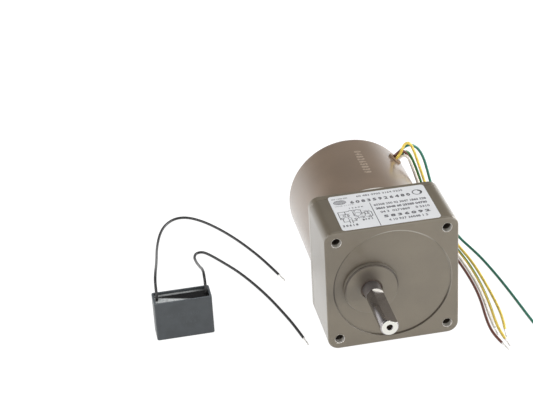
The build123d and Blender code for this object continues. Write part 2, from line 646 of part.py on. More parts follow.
OUTPUT_BEARINGS = (
    (OUTPUT_FRONT, OUTPUT_BEARING_Y, OUTPUT_AXIS),
    (OUTPUT_REAR, OUTPUT_REAR_Y, OUTPUT_AXIS),
)
ROTOR_BEARINGS = (
    (ROTOR_BEARING, FRONT_BEARING_Y, MOTOR_AXIS),
    (ROTOR_BEARING, REAR_BEARING_Y, MOTOR_AXIS),
)


# ---- motor -----------------------------------------------------------------------------------------
def assembly_places():
    """The (x, z) of the two small screws that hold the gear case to the motor's flange."""
    x, z = ASSEMBLY_PLACE
    return [(x, AXIS_Z + z), (-x, AXIS_Z - z)]


def bolt_places():
    return [polar(BOLT_CIRCLE_R, 45 + 90 * i) for i in range(4)]


def front_bracket():
    """Square flange with a pilot for the gear case, the front bearing's seat and a spigot."""
    body = along(RectangleRounded(FRAME, FRAME, CORNER), BACK, FLANGE_BACK)
    body = chamfer(edges_at(body, BACK), SEAM_EDGE)
    body += disc(RIM_R - SLIP, BACK - PILOT_HEIGHT, BACK)
    body += disc(REGISTER_R, FLANGE_BACK, DRUM_FRONT)
    spigot_r = DRUM_BORE_R - PRESS
    body += disc(spigot_r, DRUM_FRONT, DRUM_FRONT + SPIGOT_LENGTH)
    body -= disc(spigot_r - SPIGOT_WALL, FLANGE_BACK, DRUM_FRONT + SPIGOT_LENGTH + PAST)
    seat_back = FRONT_BEARING_Y + ROTOR_BEARING["width"]
    body += disc(HUB_R, FLANGE_BACK - PAST, seat_back)
    body -= disc(ROTOR_BEARING["outer"], FRONT_BEARING_Y, seat_back + PAST)
    body -= disc(ROTOR_BEARING["bore"] + SHAFT_ROOM, BACK - PILOT_HEIGHT - PAST, FRONT_BEARING_Y)
    body -= disc(PINION_SEAL_R, BACK - PILOT_HEIGHT - PAST, BACK)
    for at in corners():
        body -= disc(HOLE_R, BACK - PAST, DRUM_FRONT + PAST, at)
    for at in bolt_places():
        body -= disc(BOLT_R + PRESS, BACK + FLANGE_SKIN, DRUM_FRONT + SPIGOT_LENGTH + PAST, at)
    for at in assembly_places():
        body -= disc(ASSEMBLY_SCREW_R + SCREW_GAP, BACK - PAST, FLANGE_BACK + PAST, at)
        seat = FLANGE_BACK - ASSEMBLY_HEAD_SINK
        body -= disc(ASSEMBLY_HEAD_R + SCREW_GAP, seat, FLANGE_BACK + PAST, at)
    return body


def pinion_seal():
    """Lip seal on the rotor's shaft, in the front bracket's pilot."""
    return ring(ROTOR_BEARING["bore"] + LIP_GAP, PINION_SEAL_R - PRESS, BACK - SEAL_WIDTH, BACK)


def assembly_screw(at):
    """Cheese head screw from the flange into the gear case."""
    head_back = FLANGE_BACK - ASSEMBLY_HEAD_LOW
    body = disc(ASSEMBLY_SCREW_R, FLANGE_BACK - ASSEMBLY_SCREW_LENGTH, head_back, at)
    body += disc(ASSEMBLY_HEAD_R, FLANGE_BACK - ASSEMBLY_HEAD_SINK, head_back, at)
    return body - cross_recess(head_back, ASSEMBLY_SCREW_R, at)


def assembly_screws():
    return group(assembly_screw(at) for at in assembly_places())


def motor_housing():
    """Tube round the stator, with a hole for the leads' grommet."""
    back = DRUM_BACK - RIM_THICK - HOUSING_GAP
    tube = disc(DRUM_R, DRUM_FRONT, back)
    tube = fillet(edges_at(tube, back), HOUSING_EDGE)
    tube -= disc(DRUM_BORE_R, DRUM_FRONT - PAST, back + PAST)
    return tube - exit_plane(DRUM_R / 2) * Cylinder(GROMMET_NECK_R + PRESS, DRUM_R, align=OUTWARDS)


def exit_plane(r):
    """A plane that looks outwards at the leads' exit, at radius r from the motor's axis."""
    x, z = polar(r, EXIT_TURN)
    outwards = (cos(radians(EXIT_TURN)), 0, sin(radians(EXIT_TURN)))
    return Plane(origin=(x, EXIT_Y, z), x_dir=(0, 1, 0), z_dir=outwards)


def lead_grommet():
    """Rubber bush in the housing's hole, with a round head that follows the housing."""
    head = exit_plane(EXIT_R) * Cylinder(GROMMET_R, EXIT_R - DRUM_BORE_R, align=INWARDS)
    outer = head.edges().filter_by(GeomType.CIRCLE).sort_by(Axis((0, 0, 0), (1, 0, 1)))[-1]
    head = fillet(outer, GROMMET_EDGE) - disc(DRUM_R + PRESS, DRUM_FRONT, DRUM_BACK)
    top = (EXIT_R + DRUM_R) / 2
    neck = exit_plane(top) * Cylinder(GROMMET_NECK_R, top - DRUM_BORE_R + GROMMET_INSIDE, align=INWARDS)
    return head + neck


def slot_turns():
    return [360 / SLOTS * (i + 0.5) for i in range(SLOTS)]


def radial_bar(r_in, r_out, width):
    """A rectangle along +x, from r_in to r_out."""
    return Pos((r_in + r_out) / 2, 0) * Rectangle(r_out - r_in, width)


def stator_core():
    """Stack of laminations with half closed slots and four holes for the long bolts."""
    slot = radial_bar(SLOT_TOP_R, SLOT_BOTTOM_R, SLOT_WIDTH)
    slot += radial_bar(BORE_R - PAST, SLOT_TOP_R + JOIN, SLOT_MOUTH)
    sketch = Circle(DRUM_BORE_R - PRESS) - Circle(BORE_R)
    sketch -= [Rot(0, 0, turn) * slot for turn in slot_turns()]
    for i in range(4):
        sketch -= Rot(0, 0, 45 + 90 * i) * Pos(BOLT_CIRCLE_R, 0) * Circle(BOLT_R + SLIP)
    return along(sketch, CORE_FRONT, CORE_BACK)


def slot_liners():
    """Folded paper channels that line the slots, open towards the bore."""
    top, bottom = SLOT_TOP_R + RUNNING, SLOT_BOTTOM_R - RUNNING
    width = SLOT_WIDTH - 2 * RUNNING
    channel = radial_bar(top, bottom, width) - radial_bar(
        top - PAST, bottom - LINER_THICK, width - 2 * LINER_THICK)
    front, back = CORE_FRONT - LINER_OVERHANG, CORE_BACK + LINER_OVERHANG
    return group(along(channel, front, back, turn=turn) for turn in slot_turns())


def sector(r_in, r_out, half):
    """A piece of a ring from -half to +half degrees."""
    a = radians(half)
    inner = [(r_in * cos(t), r_in * sin(t)) for t in (-a, 0, a)]
    outer = [(r_out * cos(t), r_out * sin(t)) for t in (-a, 0, a)]
    return make_face([ThreePointArc(*inner), Line(inner[2], outer[2]), ThreePointArc(*outer),
                      Line(outer[0], inner[0])])


def coil_side():
    """Inner and outer radius of a coil's sides in the slots."""
    return SLOT_TOP_R + COIL_TOP, SLOT_BOTTOM_R - LINER_THICK - COIL_GAP


def coil(turn, half_span, arc_in, arc_out, near, far):
    """A wound coil: two sides in the slots, and an arc past each end of the core from near to far."""
    side_in, side_out = coil_side()
    side = radial_bar(side_in, side_out, COIL_WIDTH)
    leg = radial_bar(side_in, max(side_out, arc_out), COIL_WIDTH)
    lips = degrees(COIL_WIDTH / 2 / arc_out)
    bow = sector(arc_in, arc_out, half_span - lips)
    body = None
    for s in (-1, 1):
        straight = along(side, CORE_FRONT - far, CORE_BACK + far, turn=turn + s * half_span)
        body = straight if body is None else body + straight
    for front, back in ((CORE_FRONT - far, CORE_FRONT - near), (CORE_BACK + near, CORE_BACK + far)):
        for s in (-1, 1):
            body += along(leg, front, back, turn=turn + s * half_span)
        body += along(bow, front, back, turn=turn)
    return body


def main_coils():
    """Two coils in each pole, one inside the other, with their end-turns over the yoke."""
    pitch = 360 / POLES
    nests = ((OUTER_SPAN, MAIN_OUTER), (INNER_SPAN, MAIN_INNER))
    return group(coil(pitch * pole, half, *radii, TURNS_START, OVERHANG - TURNS_SHIFT)
                 for pole in range(POLES) for half, radii in nests)


def auxiliary_coils():
    """One coil in each pole between the main poles, with its end-turns nearer the bore."""
    pitch = 360 / POLES
    return group(coil(pitch * (pole + 0.5), OUTER_SPAN, *coil_side(), OVERHANG - AUX_DEPTH, OVERHANG)
                 for pole in range(POLES))


def rotor_shaft():
    """Shaft with two bearing journals and the first pinion cut on its front end."""
    journal = ROTOR_BEARING["bore"]
    neck = COVER_FRONT + PINION_NECK
    front_seat = FRONT_BEARING_Y + ROTOR_BEARING["width"]
    body = pinion_teeth(FIRST, FIRST_WHEEL_FRONT - HUB_STEP, neck, MOTOR_AXIS, FIRST_ARBOR)
    body += disc(journal, neck, REAR_BEARING_Y + ROTOR_BEARING["width"])
    return body + disc(ROTOR_BODY_R, front_seat, REAR_BEARING_Y)


def rotor_core():
    sketch = Circle(BORE_R - AIR_GAP) - Circle(ROTOR_BODY_R + PRESS)
    sketch -= PolarLocations(BAR_CIRCLE_R, BARS) * Circle(BAR_R)
    return along(sketch, CORE_FRONT, CORE_BACK)


def rotor_cage():
    """Cast bars, end rings and cooling vanes."""
    rings = Circle(BAR_CIRCLE_R + BAR_R + END_RING_BRIM) - Circle(BAR_CIRCLE_R - BAR_R - 2 * END_RING_BRIM)
    body = along(rings, CORE_FRONT - END_RING_LENGTH, CORE_FRONT)
    body += along(rings, CORE_BACK, CORE_BACK + END_RING_LENGTH)
    for i in range(BARS):
        body += disc(BAR_R, CORE_FRONT, CORE_BACK, polar(BAR_CIRCLE_R, 360 * i / BARS))
    vane = radial_bar(BAR_CIRCLE_R - BAR_R, BAR_CIRCLE_R + BAR_R, VANE_THICK)
    for i in range(VANES):
        back = CORE_BACK + END_RING_LENGTH
        body += along(vane, back - JOIN, back + VANE_HEIGHT, turn=360 * i / VANES)
    return body


def rear_bracket():
    """Rear cover: a rim on the housing, a spigot inside it, the rear bearing's seat and a low dome."""
    rim_front = DRUM_BACK - RIM_THICK
    spigot_r = DRUM_BORE_R - PRESS
    seat_back = REAR_BEARING_Y + ROTOR_BEARING["width"] + SPRING_ROOM
    body = disc(DRUM_R - RIM_STEP, rim_front, DRUM_BACK)
    body = fillet(edges_at(body, DRUM_BACK), BRACKET_EDGE)
    body += cone(DOME_R, DOME_TOP_R, DRUM_BACK, DRUM_BACK + DOME_HEIGHT)
    body += ring(spigot_r - SPIGOT_WALL, spigot_r, rim_front - SPIGOT_LENGTH, rim_front)
    body += disc(HUB_R, REAR_BEARING_Y, rim_front)
    body -= disc(ROTOR_BEARING["outer"], REAR_BEARING_Y - PAST, seat_back)
    body -= disc(ROTOR_BEARING["bore"] + SHAFT_ROOM, seat_back - PAST, seat_back + SHAFT_ROOM)
    for at in bolt_places():
        body -= disc(BOLT_R + SLIP, rim_front - SPIGOT_LENGTH - PAST, DRUM_BACK + PAST, at)
        body -= disc(BOLT_HEAD_R + CLEAR, DRUM_BACK - BOLT_SINK, DRUM_BACK + DOME_HEIGHT, at)
    return body


def wave_spring():
    """Wavy washer that loads the rear bearing, drawn as the ring that it fills when pressed."""
    y = REAR_BEARING_Y + ROTOR_BEARING["width"]
    _, inside, _, _ = bearing_radii(ROTOR_BEARING)
    return ring(inside, ROTOR_BEARING["outer"] - SLIP, y, y + SPRING_ROOM)


def through_bolt(at):
    """Long bolt from the rear bracket through the stator's yoke into the front bracket."""
    seat = DRUM_BACK - BOLT_SINK
    body = disc(BOLT_R, BACK + FLANGE_SKIN + BOLT_TIP_GAP, seat + JOIN, at)
    head = disc(BOLT_HEAD_R, seat, seat + BOLT_HEAD_HEIGHT, at)
    body += fillet(edges_at(head, seat + BOLT_HEAD_HEIGHT), BOLT_HEAD_EDGE)
    return body - cross_recess(seat + BOLT_HEAD_HEIGHT, BOLT_R, at)


def through_bolts():
    return group(through_bolt(at) for at in bolt_places())


def rating_label():
    """Printed film across the tops of the gear case and of the flange behind it."""
    front, back = FACE + LABEL_FRONT, FLANGE_BACK - LABEL_REAR
    outline = RectangleRounded(LABEL_WIDTH, back - front, LABEL_CORNER)
    return extrude(Plane((LABEL_SHIFT, (front + back) / 2, FRAME)) * outline, LABEL_THICK)


# ---- leads -----------------------------------------------------------------------------------------
def bend_radii(points):
    """For each corner of a route: 0.45 of its shorter run over the tangent of half its turn."""
    p = [Vector(*q) for q in points]
    radii = []
    for before, here, after in zip(p, p[1:], p[2:]):
        turn = (here - before).get_angle(after - here)
        radii.append(0.45 * min((here - before).length, (after - here).length) / tan(radians(turn / 2)))
    return radii


def lead(name, points):
    """Round lead along straight runs joined by tangent arcs."""
    radii = bend_radii(points)
    path = FilletPolyline(*points, radius=radii)
    print(name, "length", round(path.length, 1), "radii", [round(r, 1) for r in radii])
    start = Plane(origin=points[0], z_dir=Vector(*points[1]) - Vector(*points[0]))
    tube = sweep(start * Circle(LEAD_R), path=path)
    share = tube.volume / (pi * LEAD_R ** 2 * path.length)
    print(name, "volume over section times length", round(share, 4))
    return tube


def lead_tip(points):
    """Tinned strands past the end of a lead's insulation."""
    end, way = Vector(*points[-1]), Vector(*points[-1]) - Vector(*points[-2])
    return Plane(origin=end, z_dir=way) * Cylinder(TIP_R, TIP_LENGTH, align=OUTWARDS)


LEADS = {
    "brown_lead": [
        (20.58, 60.0, 52.42), (23.2, 60.0, 55.04), (26.0, 59.7, 54.6), (28.0, 60.0, 50.0),
        (30.0, 60.6, 44.0), (32.2, 61.0, 36.6), (34.6, 61.0, 28.2), (37.6, 60.2, 19.6),
        (41.2, 58.0, 11.4), (44.4, 53.8, 4.6), (46.3, 47.2, 1.0), (47.2, 38.0, 0.7),
        (47.7, 27.0, 0.7), (47.6, 15.4, 0.7), (46.7, 4.0, 0.7), (45.1, -6.6, 0.7),
        (44.0, -16.0, 0.7), (44.1, -24.2, 0.7), (45.5, -30.6, 0.7),
    ],
    "white_lead": [
        (22.24, 59.24, 50.76), (24.85, 59.24, 53.37), (27.3, 57.9, 51.8), (28.8, 56.9, 47.4),
        (30.4, 56.4, 42.0), (32.4, 56.0, 35.2), (34.8, 55.6, 27.0), (37.6, 55.0, 18.8),
        (41.0, 53.4, 11.6), (44.9, 50.2, 5.5), (47.8, 45.2, 1.8), (48.9, 38.4, 0.7),
        (49.3, 29.0, 0.7), (49.3, 18.4, 0.7), (48.7, 8.0, 0.7), (47.6, -1.6, 0.7),
        (46.6, -10.0, 0.7), (46.1, -17.8, 0.7),
    ],
    "striped_lead": [
        (22.24, 60.76, 50.76), (24.9, 60.76, 53.42), (27.6, 61.5, 53.5), (29.6, 62.3, 49.8),
        (31.6, 62.8, 44.6), (33.8, 63.0, 37.4), (36.2, 62.8, 28.8), (39.4, 62.0, 19.8),
        (43.2, 60.0, 11.4), (47.0, 56.2, 4.6), (49.6, 50.0, 1.1), (50.7, 41.4, 0.7),
        (51.2, 31.2, 0.7), (51.1, 20.2, 0.7), (50.5, 9.2, 0.7), (49.5, -1.4, 0.7),
        (48.2, -11.2, 0.7), (47.4, -20.2, 0.7), (47.8, -28.0, 0.7),
    ],
    "yellow_lead": [
        (21.22, 58.76, 51.78), (23.4, 58.76, 53.96), (24.1, 58.1, 56.8), (25.3, 58.0, 59.4),
        (27.5, 58.3, 59.7), (29.2, 59.0, 57.0), (30.9, 59.8, 52.4), (32.6, 60.4, 46.8), (34.6, 60.8, 40.2),
        (36.8, 61.0, 32.0), (39.6, 60.8, 23.2), (43.4, 59.6, 14.6), (47.4, 56.6, 7.0),
        (50.6, 51.6, 2.0), (52.4, 44.4, 0.8), (53.2, 35.0, 0.7), (53.4, 24.2, 0.7),
        (53.3, 13.0, 0.7), (53.0, 2.0, 0.7), (52.4, -7.0, 0.7), (51.4, -14.4, 0.7),
        (50.1, -20.6, 0.7),
    ],
    "green_lead": [
        (21.22, 61.24, 51.78), (24.3, 61.24, 54.86), (27.6, 62.2, 56.4), (31.2, 63.4, 55.2),
        (34.2, 64.2, 51.8), (36.6, 64.8, 46.4), (38.4, 65.2, 39.4), (40.4, 65.6, 30.8),
        (43.2, 65.8, 21.8), (46.8, 65.6, 13.0), (50.6, 63.6, 5.6), (53.8, 59.4, 1.4),
        (56.2, 52.0, 0.7), (58.4, 41.4, 0.7), (60.2, 28.0, 0.7), (61.7, 13.0, 0.7),
        (62.9, -3.0, 0.7), (63.9, -18.0, 0.7), (65.6, -30.4, 0.7), (68.4, -39.6, 0.7),
    ],
}
CAP_LEADS = {
    "capacitor_left_lead": [
        (-101.6, 18.15, 18.3), (-101.6, 18.15, 22.4), (-101.3, 22.4, 25.6), (-100.3, 29.8, 25.4),
        (-98.8, 41.4, 21.8), (-97.3, 55.4, 16.2), (-95.9, 69.6, 10.4), (-94.5, 83.6, 5.2),
        (-92.7, 96.6, 1.8), (-90.2, 107.6, 0.8), (-86.6, 115.8, 0.7), (-81.0, 121.2, 0.7),
        (-74.6, 121.0, 0.7), (-67.6, 115.0, 0.7), (-60.6, 105.0, 0.7), (-53.8, 92.4, 0.7),
        (-47.8, 78.4, 0.7), (-43.2, 65.6, 0.7), (-39.4, 52.8, 0.7),
    ],
    "capacitor_right_lead": [
        (-79.1, 18.15, 18.3), (-79.1, 18.15, 22.4), (-78.9, 21.6, 25.2), (-78.5, 27.6, 24.4),
        (-78.1, 36.6, 20.4), (-77.7, 46.8, 15.0), (-77.2, 57.0, 9.8), (-76.9, 66.2, 5.4),
        (-76.8, 73.8, 2.4), (-76.7, 79.6, 1.0), (-75.3, 83.8, 0.7), (-71.7, 84.2, 0.7),
        (-68.2, 79.4, 0.7), (-63.8, 71.8, 0.7), (-58.0, 61.2, 0.7), (-52.4, 47.6, 0.7),
        (-47.6, 33.4, 0.7), (-43.8, 19.2, 0.7), (-40.9, 7.0, 0.7), (-39.1, -3.4, 0.7),
    ],
}


# ---- capacitor -------------------------------------------------------------------------------------
def cap_block(inset, low, high):
    """A block inside the capacitor's outline, inset from its sides, from z = low to z = high."""
    width, depth, _ = CAP_SIZE
    x, y = CAP_CORNER[0] + width / 2, CAP_CORNER[1] + depth / 2
    sketch = RectangleRounded(width - 2 * inset, depth - 2 * inset, CAP_CORNER_R - inset / 2)
    return extrude(Plane((x, y, low)) * sketch, high - low)


def capacitor_case():
    body = cap_block(0, 0, CAP_SIZE[2])
    levels = body.edges().group_by(Axis.Z)
    body = fillet(levels[-1] + levels[0], CAP_EDGE)
    return body - cap_block(CAP_WALL, CAP_WALL, CAP_SIZE[2] + PAST)


def cap_winding_box():
    """Low and high corners of the wound block, with its sprayed ends."""
    width, depth, height = CAP_SIZE
    x, y = CAP_CORNER
    gap = CAP_WALL + WINDING_GAP
    low = (x + gap, y + gap, CAP_WALL + WINDING_LOW)
    return low, (x + width - gap, y + depth - gap, height - CAP_RECESS - WINDING_DEPTH)


def block(low, high):
    size = [b - a for a, b in zip(low, high)]
    return Pos(*low) * Box(*size, align=(Align.MIN, Align.MIN, Align.MIN))


def capacitor_winding():
    low, high = cap_winding_box()
    return block((low[0] + SPRAY, low[1], low[2]), (high[0] - SPRAY, high[1], high[2]))


def capacitor_end_spray():
    """The metal sprayed on both ends of the winding, where the leads are soldered."""
    low, high = cap_winding_box()
    left = block(low, (low[0] + SPRAY, high[1], high[2]))
    right = block((high[0] - SPRAY, low[1], low[2]), high)
    return group([left, right])


def capacitor_potting():
    """Resin that fills the case up to the recess."""
    low, high = cap_winding_box()
    return cap_block(CAP_WALL + PRESS, CAP_WALL, CAP_SIZE[2] - CAP_RECESS) - block(low, high)


# ---- writing ---------------------------------------------------------------------------------------
def bearing_nodes(prefix, bearings):
    """Outer rings, inner rings, balls and cages of two bearings, each kind as one node."""
    return {
        prefix + "_bearing_outer_rings": group(outer_ring(*b) for b in bearings),
        prefix + "_bearing_inner_rings": group(inner_ring(*b) for b in bearings),
        prefix + "_bearing_balls": group(ball for b in bearings for ball in balls(*b)),
        prefix + "_bearing_cages": group(cage(*b) for b in bearings),
    }


def nodes():
    single = [
        gear_case, gear_cover, cover_screws, arbor_bushes, first_pinion_shaft, second_pinion_shaft,
        first_gear, second_gear, output_gear, output_key, output_shaft, output_spacer, output_circlip,
        output_seal, front_bracket, pinion_seal, assembly_screws, motor_housing, lead_grommet,
        stator_core, slot_liners, main_coils, auxiliary_coils, rotor_shaft, rotor_core, rotor_cage,
        rear_bracket, wave_spring, through_bolts, rating_label, capacitor_case, capacitor_winding,
        capacitor_end_spray, capacitor_potting,
    ]
    made = {make.__name__: make() for make in single}
    made.update(bearing_nodes("output", OUTPUT_BEARINGS))
    made.update(bearing_nodes("rotor", ROTOR_BEARINGS))
    for name, points in {**LEADS, **CAP_LEADS}.items():
        made[name] = lead(name, points)
        made[name + "_tip"] = lead_tip(points)
    return made


os.makedirs("parts", exist_ok=True)
for name, shape in nodes().items():
    export_step(shape, os.path.join("parts", name + ".step"))
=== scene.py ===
"""Looks of a small geared induction motor with its run capacitor and its flying leads.

Metres, +Z up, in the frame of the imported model: the origin is the centre of the gear case's underside, the
output shaft points along -Y, and the rotor's axis is the line x = 0, z = 30 mm.
"""

import bpy
import numpy as np
from bpy.props import FloatProperty, FloatVectorProperty, IntProperty, PointerProperty
from mathutils import Matrix, Vector


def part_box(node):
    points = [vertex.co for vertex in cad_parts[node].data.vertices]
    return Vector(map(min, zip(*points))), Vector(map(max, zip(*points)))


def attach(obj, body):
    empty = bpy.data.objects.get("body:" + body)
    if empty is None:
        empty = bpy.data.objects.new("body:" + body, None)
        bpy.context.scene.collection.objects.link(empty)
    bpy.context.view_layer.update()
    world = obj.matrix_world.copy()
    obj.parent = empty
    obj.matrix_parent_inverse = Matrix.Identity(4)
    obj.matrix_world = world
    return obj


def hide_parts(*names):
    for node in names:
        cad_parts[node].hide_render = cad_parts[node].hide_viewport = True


bl_info = {
    "name": "Geared Motor Looks",
    "version": (1, 0, 0),
    "blender": (4, 5, 0),
    "location": "3D View > Sidebar > Geared Motor",
    "description": "Finishes, leads, nameplate and studio for a small geared motor and its capacitor",
    "category": "Object",
}

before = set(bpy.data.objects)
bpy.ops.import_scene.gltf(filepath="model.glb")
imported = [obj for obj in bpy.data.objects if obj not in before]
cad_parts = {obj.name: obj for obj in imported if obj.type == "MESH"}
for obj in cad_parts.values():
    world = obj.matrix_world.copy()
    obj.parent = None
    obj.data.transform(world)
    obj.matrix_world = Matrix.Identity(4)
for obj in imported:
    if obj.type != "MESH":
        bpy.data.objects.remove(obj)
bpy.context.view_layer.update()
MM = 0.001

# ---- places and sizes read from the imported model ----
CASE_LOW, CASE_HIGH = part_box("gear_case")
LABEL_LOW, LABEL_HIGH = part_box("rating_label")
DRUM_LOW, DRUM_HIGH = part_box("motor_housing")
CAPACITOR_LOW, CAPACITOR_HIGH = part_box("capacitor_case")
SHAFT_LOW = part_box("output_shaft")[0]
DRUM_R = (DRUM_HIGH.x - DRUM_LOW.x) / 2

# ---- places in millimetres, which the materials read ----
AXIS_Z = (CASE_LOW.z + CASE_HIGH.z) / 2 / MM
SHAFT_TIP = SHAFT_LOW.y / MM
SHAFT_X = -10.0
FACE_Y = -15.0              # mounting face
HOLE_OFFSET = 24.75         # mounting holes, from the motor's axis
HOLE_RIM_R = 2.27           # outside of their chamfers
BOSS_FRONT = -16.7
BOSS_R = 12.2
BOSS_EDGE = 0.5             # rounding of the boss's rim
RECESS_R = 26.6             # round recess in the mounting face
RECESS_FLOOR = -14.3
FLANGE_BACK = 18.3
REGISTER_BACK = 19.3
CENTRE_R = 1.1              # centre drilling in the shaft's tip
FLAT_LENGTH = 25.0
FLAT_TURN = 22.0            # degrees that the flat is turned to the right
FLAT_ACROSS = 3.0           # from the shaft's axis to its flat
TURNING_PITCH = 0.2         # of the rings on the shafts' faced ends
STRIPE_PITCH = 0.3          # metres in which the earth lead's stripe winds once round it
STRIPE_PHASE = 0.72         # where round the lead the stripe starts, from 0 to 1

# ---- camera: its place in metres, its directions, its sensor and lens in millimetres ----
CAMERA_AT = (-0.14630, -0.59498, 0.40764)
CAMERA_RIGHT = (0.98093, -0.18668, -0.05410)
CAMERA_UP = (0.13747, 0.46958, 0.87212)
CAMERA_LOOK = (0.13741, 0.86293, -0.48629)
SENSOR_WIDTH = 36.0
LENS = 108.07

# ---- routes of the leads, in millimetres, and the lengths of their insulation, in metres ----
ON_FLOOR = 0.7              # height of a point that is given without one
MOTOR_LEADS = {
    "brown_lead": [
        (20.58, 60.0, 52.42), (23.2, 60.0, 55.04), (26.0, 59.7, 54.6), (28.0, 60.0, 50.0),
        (30.0, 60.6, 44.0), (32.2, 61.0, 36.6), (34.6, 61.0, 28.2), (37.6, 60.2, 19.6), (41.2, 58.0, 11.4),
        (44.4, 53.8, 4.6), (46.3, 47.2, 1.0), (47.2, 38.0), (47.7, 27.0), (47.6, 15.4), (46.7, 4.0),
        (45.1, -6.6), (44.0, -16.0), (44.1, -24.2), (45.5, -30.6),
    ],
    "white_lead": [
        (22.24, 59.24, 50.76), (24.85, 59.24, 53.37), (27.3, 57.9, 51.8), (28.8, 56.9, 47.4),
        (30.4, 56.4, 42.0), (32.4, 56.0, 35.2), (34.8, 55.6, 27.0), (37.6, 55.0, 18.8), (41.0, 53.4, 11.6),
        (44.9, 50.2, 5.5), (47.8, 45.2, 1.8), (48.9, 38.4), (49.3, 29.0), (49.3, 18.4), (48.7, 8.0),
        (47.6, -1.6), (46.6, -10.0), (46.1, -17.8),
    ],
    "striped_lead": [
        (22.24, 60.76, 50.76), (24.9, 60.76, 53.42), (27.6, 61.5, 53.5), (29.6, 62.3, 49.8),
        (31.6, 62.8, 44.6), (33.8, 63.0, 37.4), (36.2, 62.8, 28.8), (39.4, 62.0, 19.8), (43.2, 60.0, 11.4),
        (47.0, 56.2, 4.6), (49.6, 50.0, 1.1), (50.7, 41.4), (51.2, 31.2), (51.1, 20.2), (50.5, 9.2),
        (49.5, -1.4), (48.2, -11.2), (47.4, -20.2), (47.8, -28.0),
    ],
    "yellow_lead": [
        (21.22, 58.76, 51.78), (23.4, 58.76, 53.96), (24.1, 58.1, 56.8), (25.3, 58.0, 59.4),
        (27.5, 58.3, 59.7), (29.2, 59.0, 57.0), (30.9, 59.8, 52.4), (32.6, 60.4, 46.8), (34.6, 60.8, 40.2),
        (36.8, 61.0, 32.0), (39.6, 60.8, 23.2), (43.4, 59.6, 14.6), (47.4, 56.6, 7.0), (50.6, 51.6, 2.0),
        (52.4, 44.4, 0.8), (53.2, 35.0), (53.4, 24.2), (53.3, 13.0), (53.0, 2.0), (52.4, -7.0),
        (51.4, -14.4), (50.1, -20.6),
    ],
    "green_lead": [
        (21.22, 61.24, 51.78), (24.3, 61.24, 54.86), (27.6, 62.2, 56.4), (31.2, 63.4, 55.2),
        (34.2, 64.2, 51.8), (36.6, 64.8, 46.4), (38.4, 65.2, 39.4), (40.4, 65.6, 30.8), (43.2, 65.8, 21.8),
        (46.8, 65.6, 13.0), (50.6, 63.6, 5.6), (53.8, 59.4, 1.4), (56.2, 52.0), (58.4, 41.4), (60.2, 28.0),
        (61.7, 13.0), (62.9, -3.0), (63.9, -18.0), (65.6, -30.4), (68.4, -39.6),
    ],
}
CAPACITOR_LEADS = {
    "capacitor_left_lead": [
        (-101.6, 18.15, 18.3), (-101.6, 18.15, 22.4), (-101.3, 22.4, 25.6), (-100.3, 29.8, 25.4),
        (-98.8, 41.4, 21.8), (-97.3, 55.4, 16.2), (-95.9, 69.6, 10.4), (-94.5, 83.6, 5.2),
        (-92.7, 96.6, 1.8), (-90.2, 107.6, 0.8), (-86.6, 115.8), (-81.0, 121.2), (-74.6, 121.0),
        (-67.6, 115.0), (-60.6, 105.0), (-53.8, 92.4), (-47.8, 78.4), (-43.2, 65.6), (-39.4, 52.8),
    ],
    "capacitor_right_lead": [
        (-79.1, 18.15, 18.3), (-79.1, 18.15, 22.4), (-78.9, 21.6, 25.2), (-78.5, 27.6, 24.4),
        (-78.1, 36.6, 20.4), (-77.7, 46.8, 15.0), (-77.2, 57.0, 9.8), (-76.9, 66.2, 5.4),
        (-76.8, 73.8, 2.4), (-76.7, 79.6, 1.0), (-75.3, 83.8), (-71.7, 84.2), (-68.2, 79.4), (-63.8, 71.8),
        (-58.0, 61.2), (-52.4, 47.6), (-47.6, 33.4), (-43.8, 19.2), (-40.9, 7.0), (-39.1, -3.4),
    ],
}


# ---- shader maths ----
def maths(operation):
    """A method that adds a Math node for a Value and what it is combined with."""
    return lambda value, *others: value.math(operation, value, *others)


class Value:
    """A socket in a node tree. Arithmetic and comparisons on it add Math nodes."""

    def __init__(self, nodes, socket):
        self.nodes, self.socket = nodes, socket

    def math(self, operation, *inputs):
        """A Math node with these inputs."""
        return self.nodes.node("ShaderNodeMath", {"operation": operation}, *inputs)

    def __rsub__(self, other):
        return self.math("SUBTRACT", other, self)

    __add__ = __radd__ = maths("ADD")
    __sub__ = maths("SUBTRACT")
    __mul__ = __rmul__ = maths("MULTIPLY")
    __truediv__ = maths("DIVIDE")
    __pow__ = maths("POWER")
    __lt__ = maths("LESS_THAN")
    __gt__ = maths("GREATER_THAN")
    __abs__ = maths("ABSOLUTE")
    sine = maths("SINE")
    fraction = maths("FRACT")
    or_less = maths("MINIMUM")
    or_more = maths("MAXIMUM")

    def between(self, low, high):
        """1 where the value lies between low and high."""
        return (self > low) * (self < high)

    def ramp(self, low, high, start=0.0, end=1.0):
        """Runs smoothly from start to end while the value runs from low to high."""
        return self.nodes.node("ShaderNodeMapRange", {"interpolation_type": "SMOOTHSTEP"},
                               self, low, high, start, end)


class Nodes:
    """The nodes of one tree, built from Values."""

    def __init__(self, tree):
        self.tree = tree

    def node(self, kind, settings, *inputs, out=0, **named):
        """Adds a node: its settings first, then its sockets in order, then those given by name."""
        node = self.tree.nodes.new(kind)
        for key, value in settings.items():
            setattr(node, key, value)
        for place, value in list(enumerate(inputs)) + list(named.items()):
            self.feed(node.inputs[place], value)
        return Value(self, node.outputs[out])

    def feed(self, socket, value):
        """Links or sets an input. None leaves it as it is."""
        if isinstance(value, Value):
            self.tree.links.new(value.socket, socket)
        elif value is not None:
            socket.default_value = value

    def arrives(self, ray):
        """1 where a ray of that kind meets the surface or the sky."""
        return self.node("ShaderNodeLightPath", {}, out=f"Is {ray} Ray")


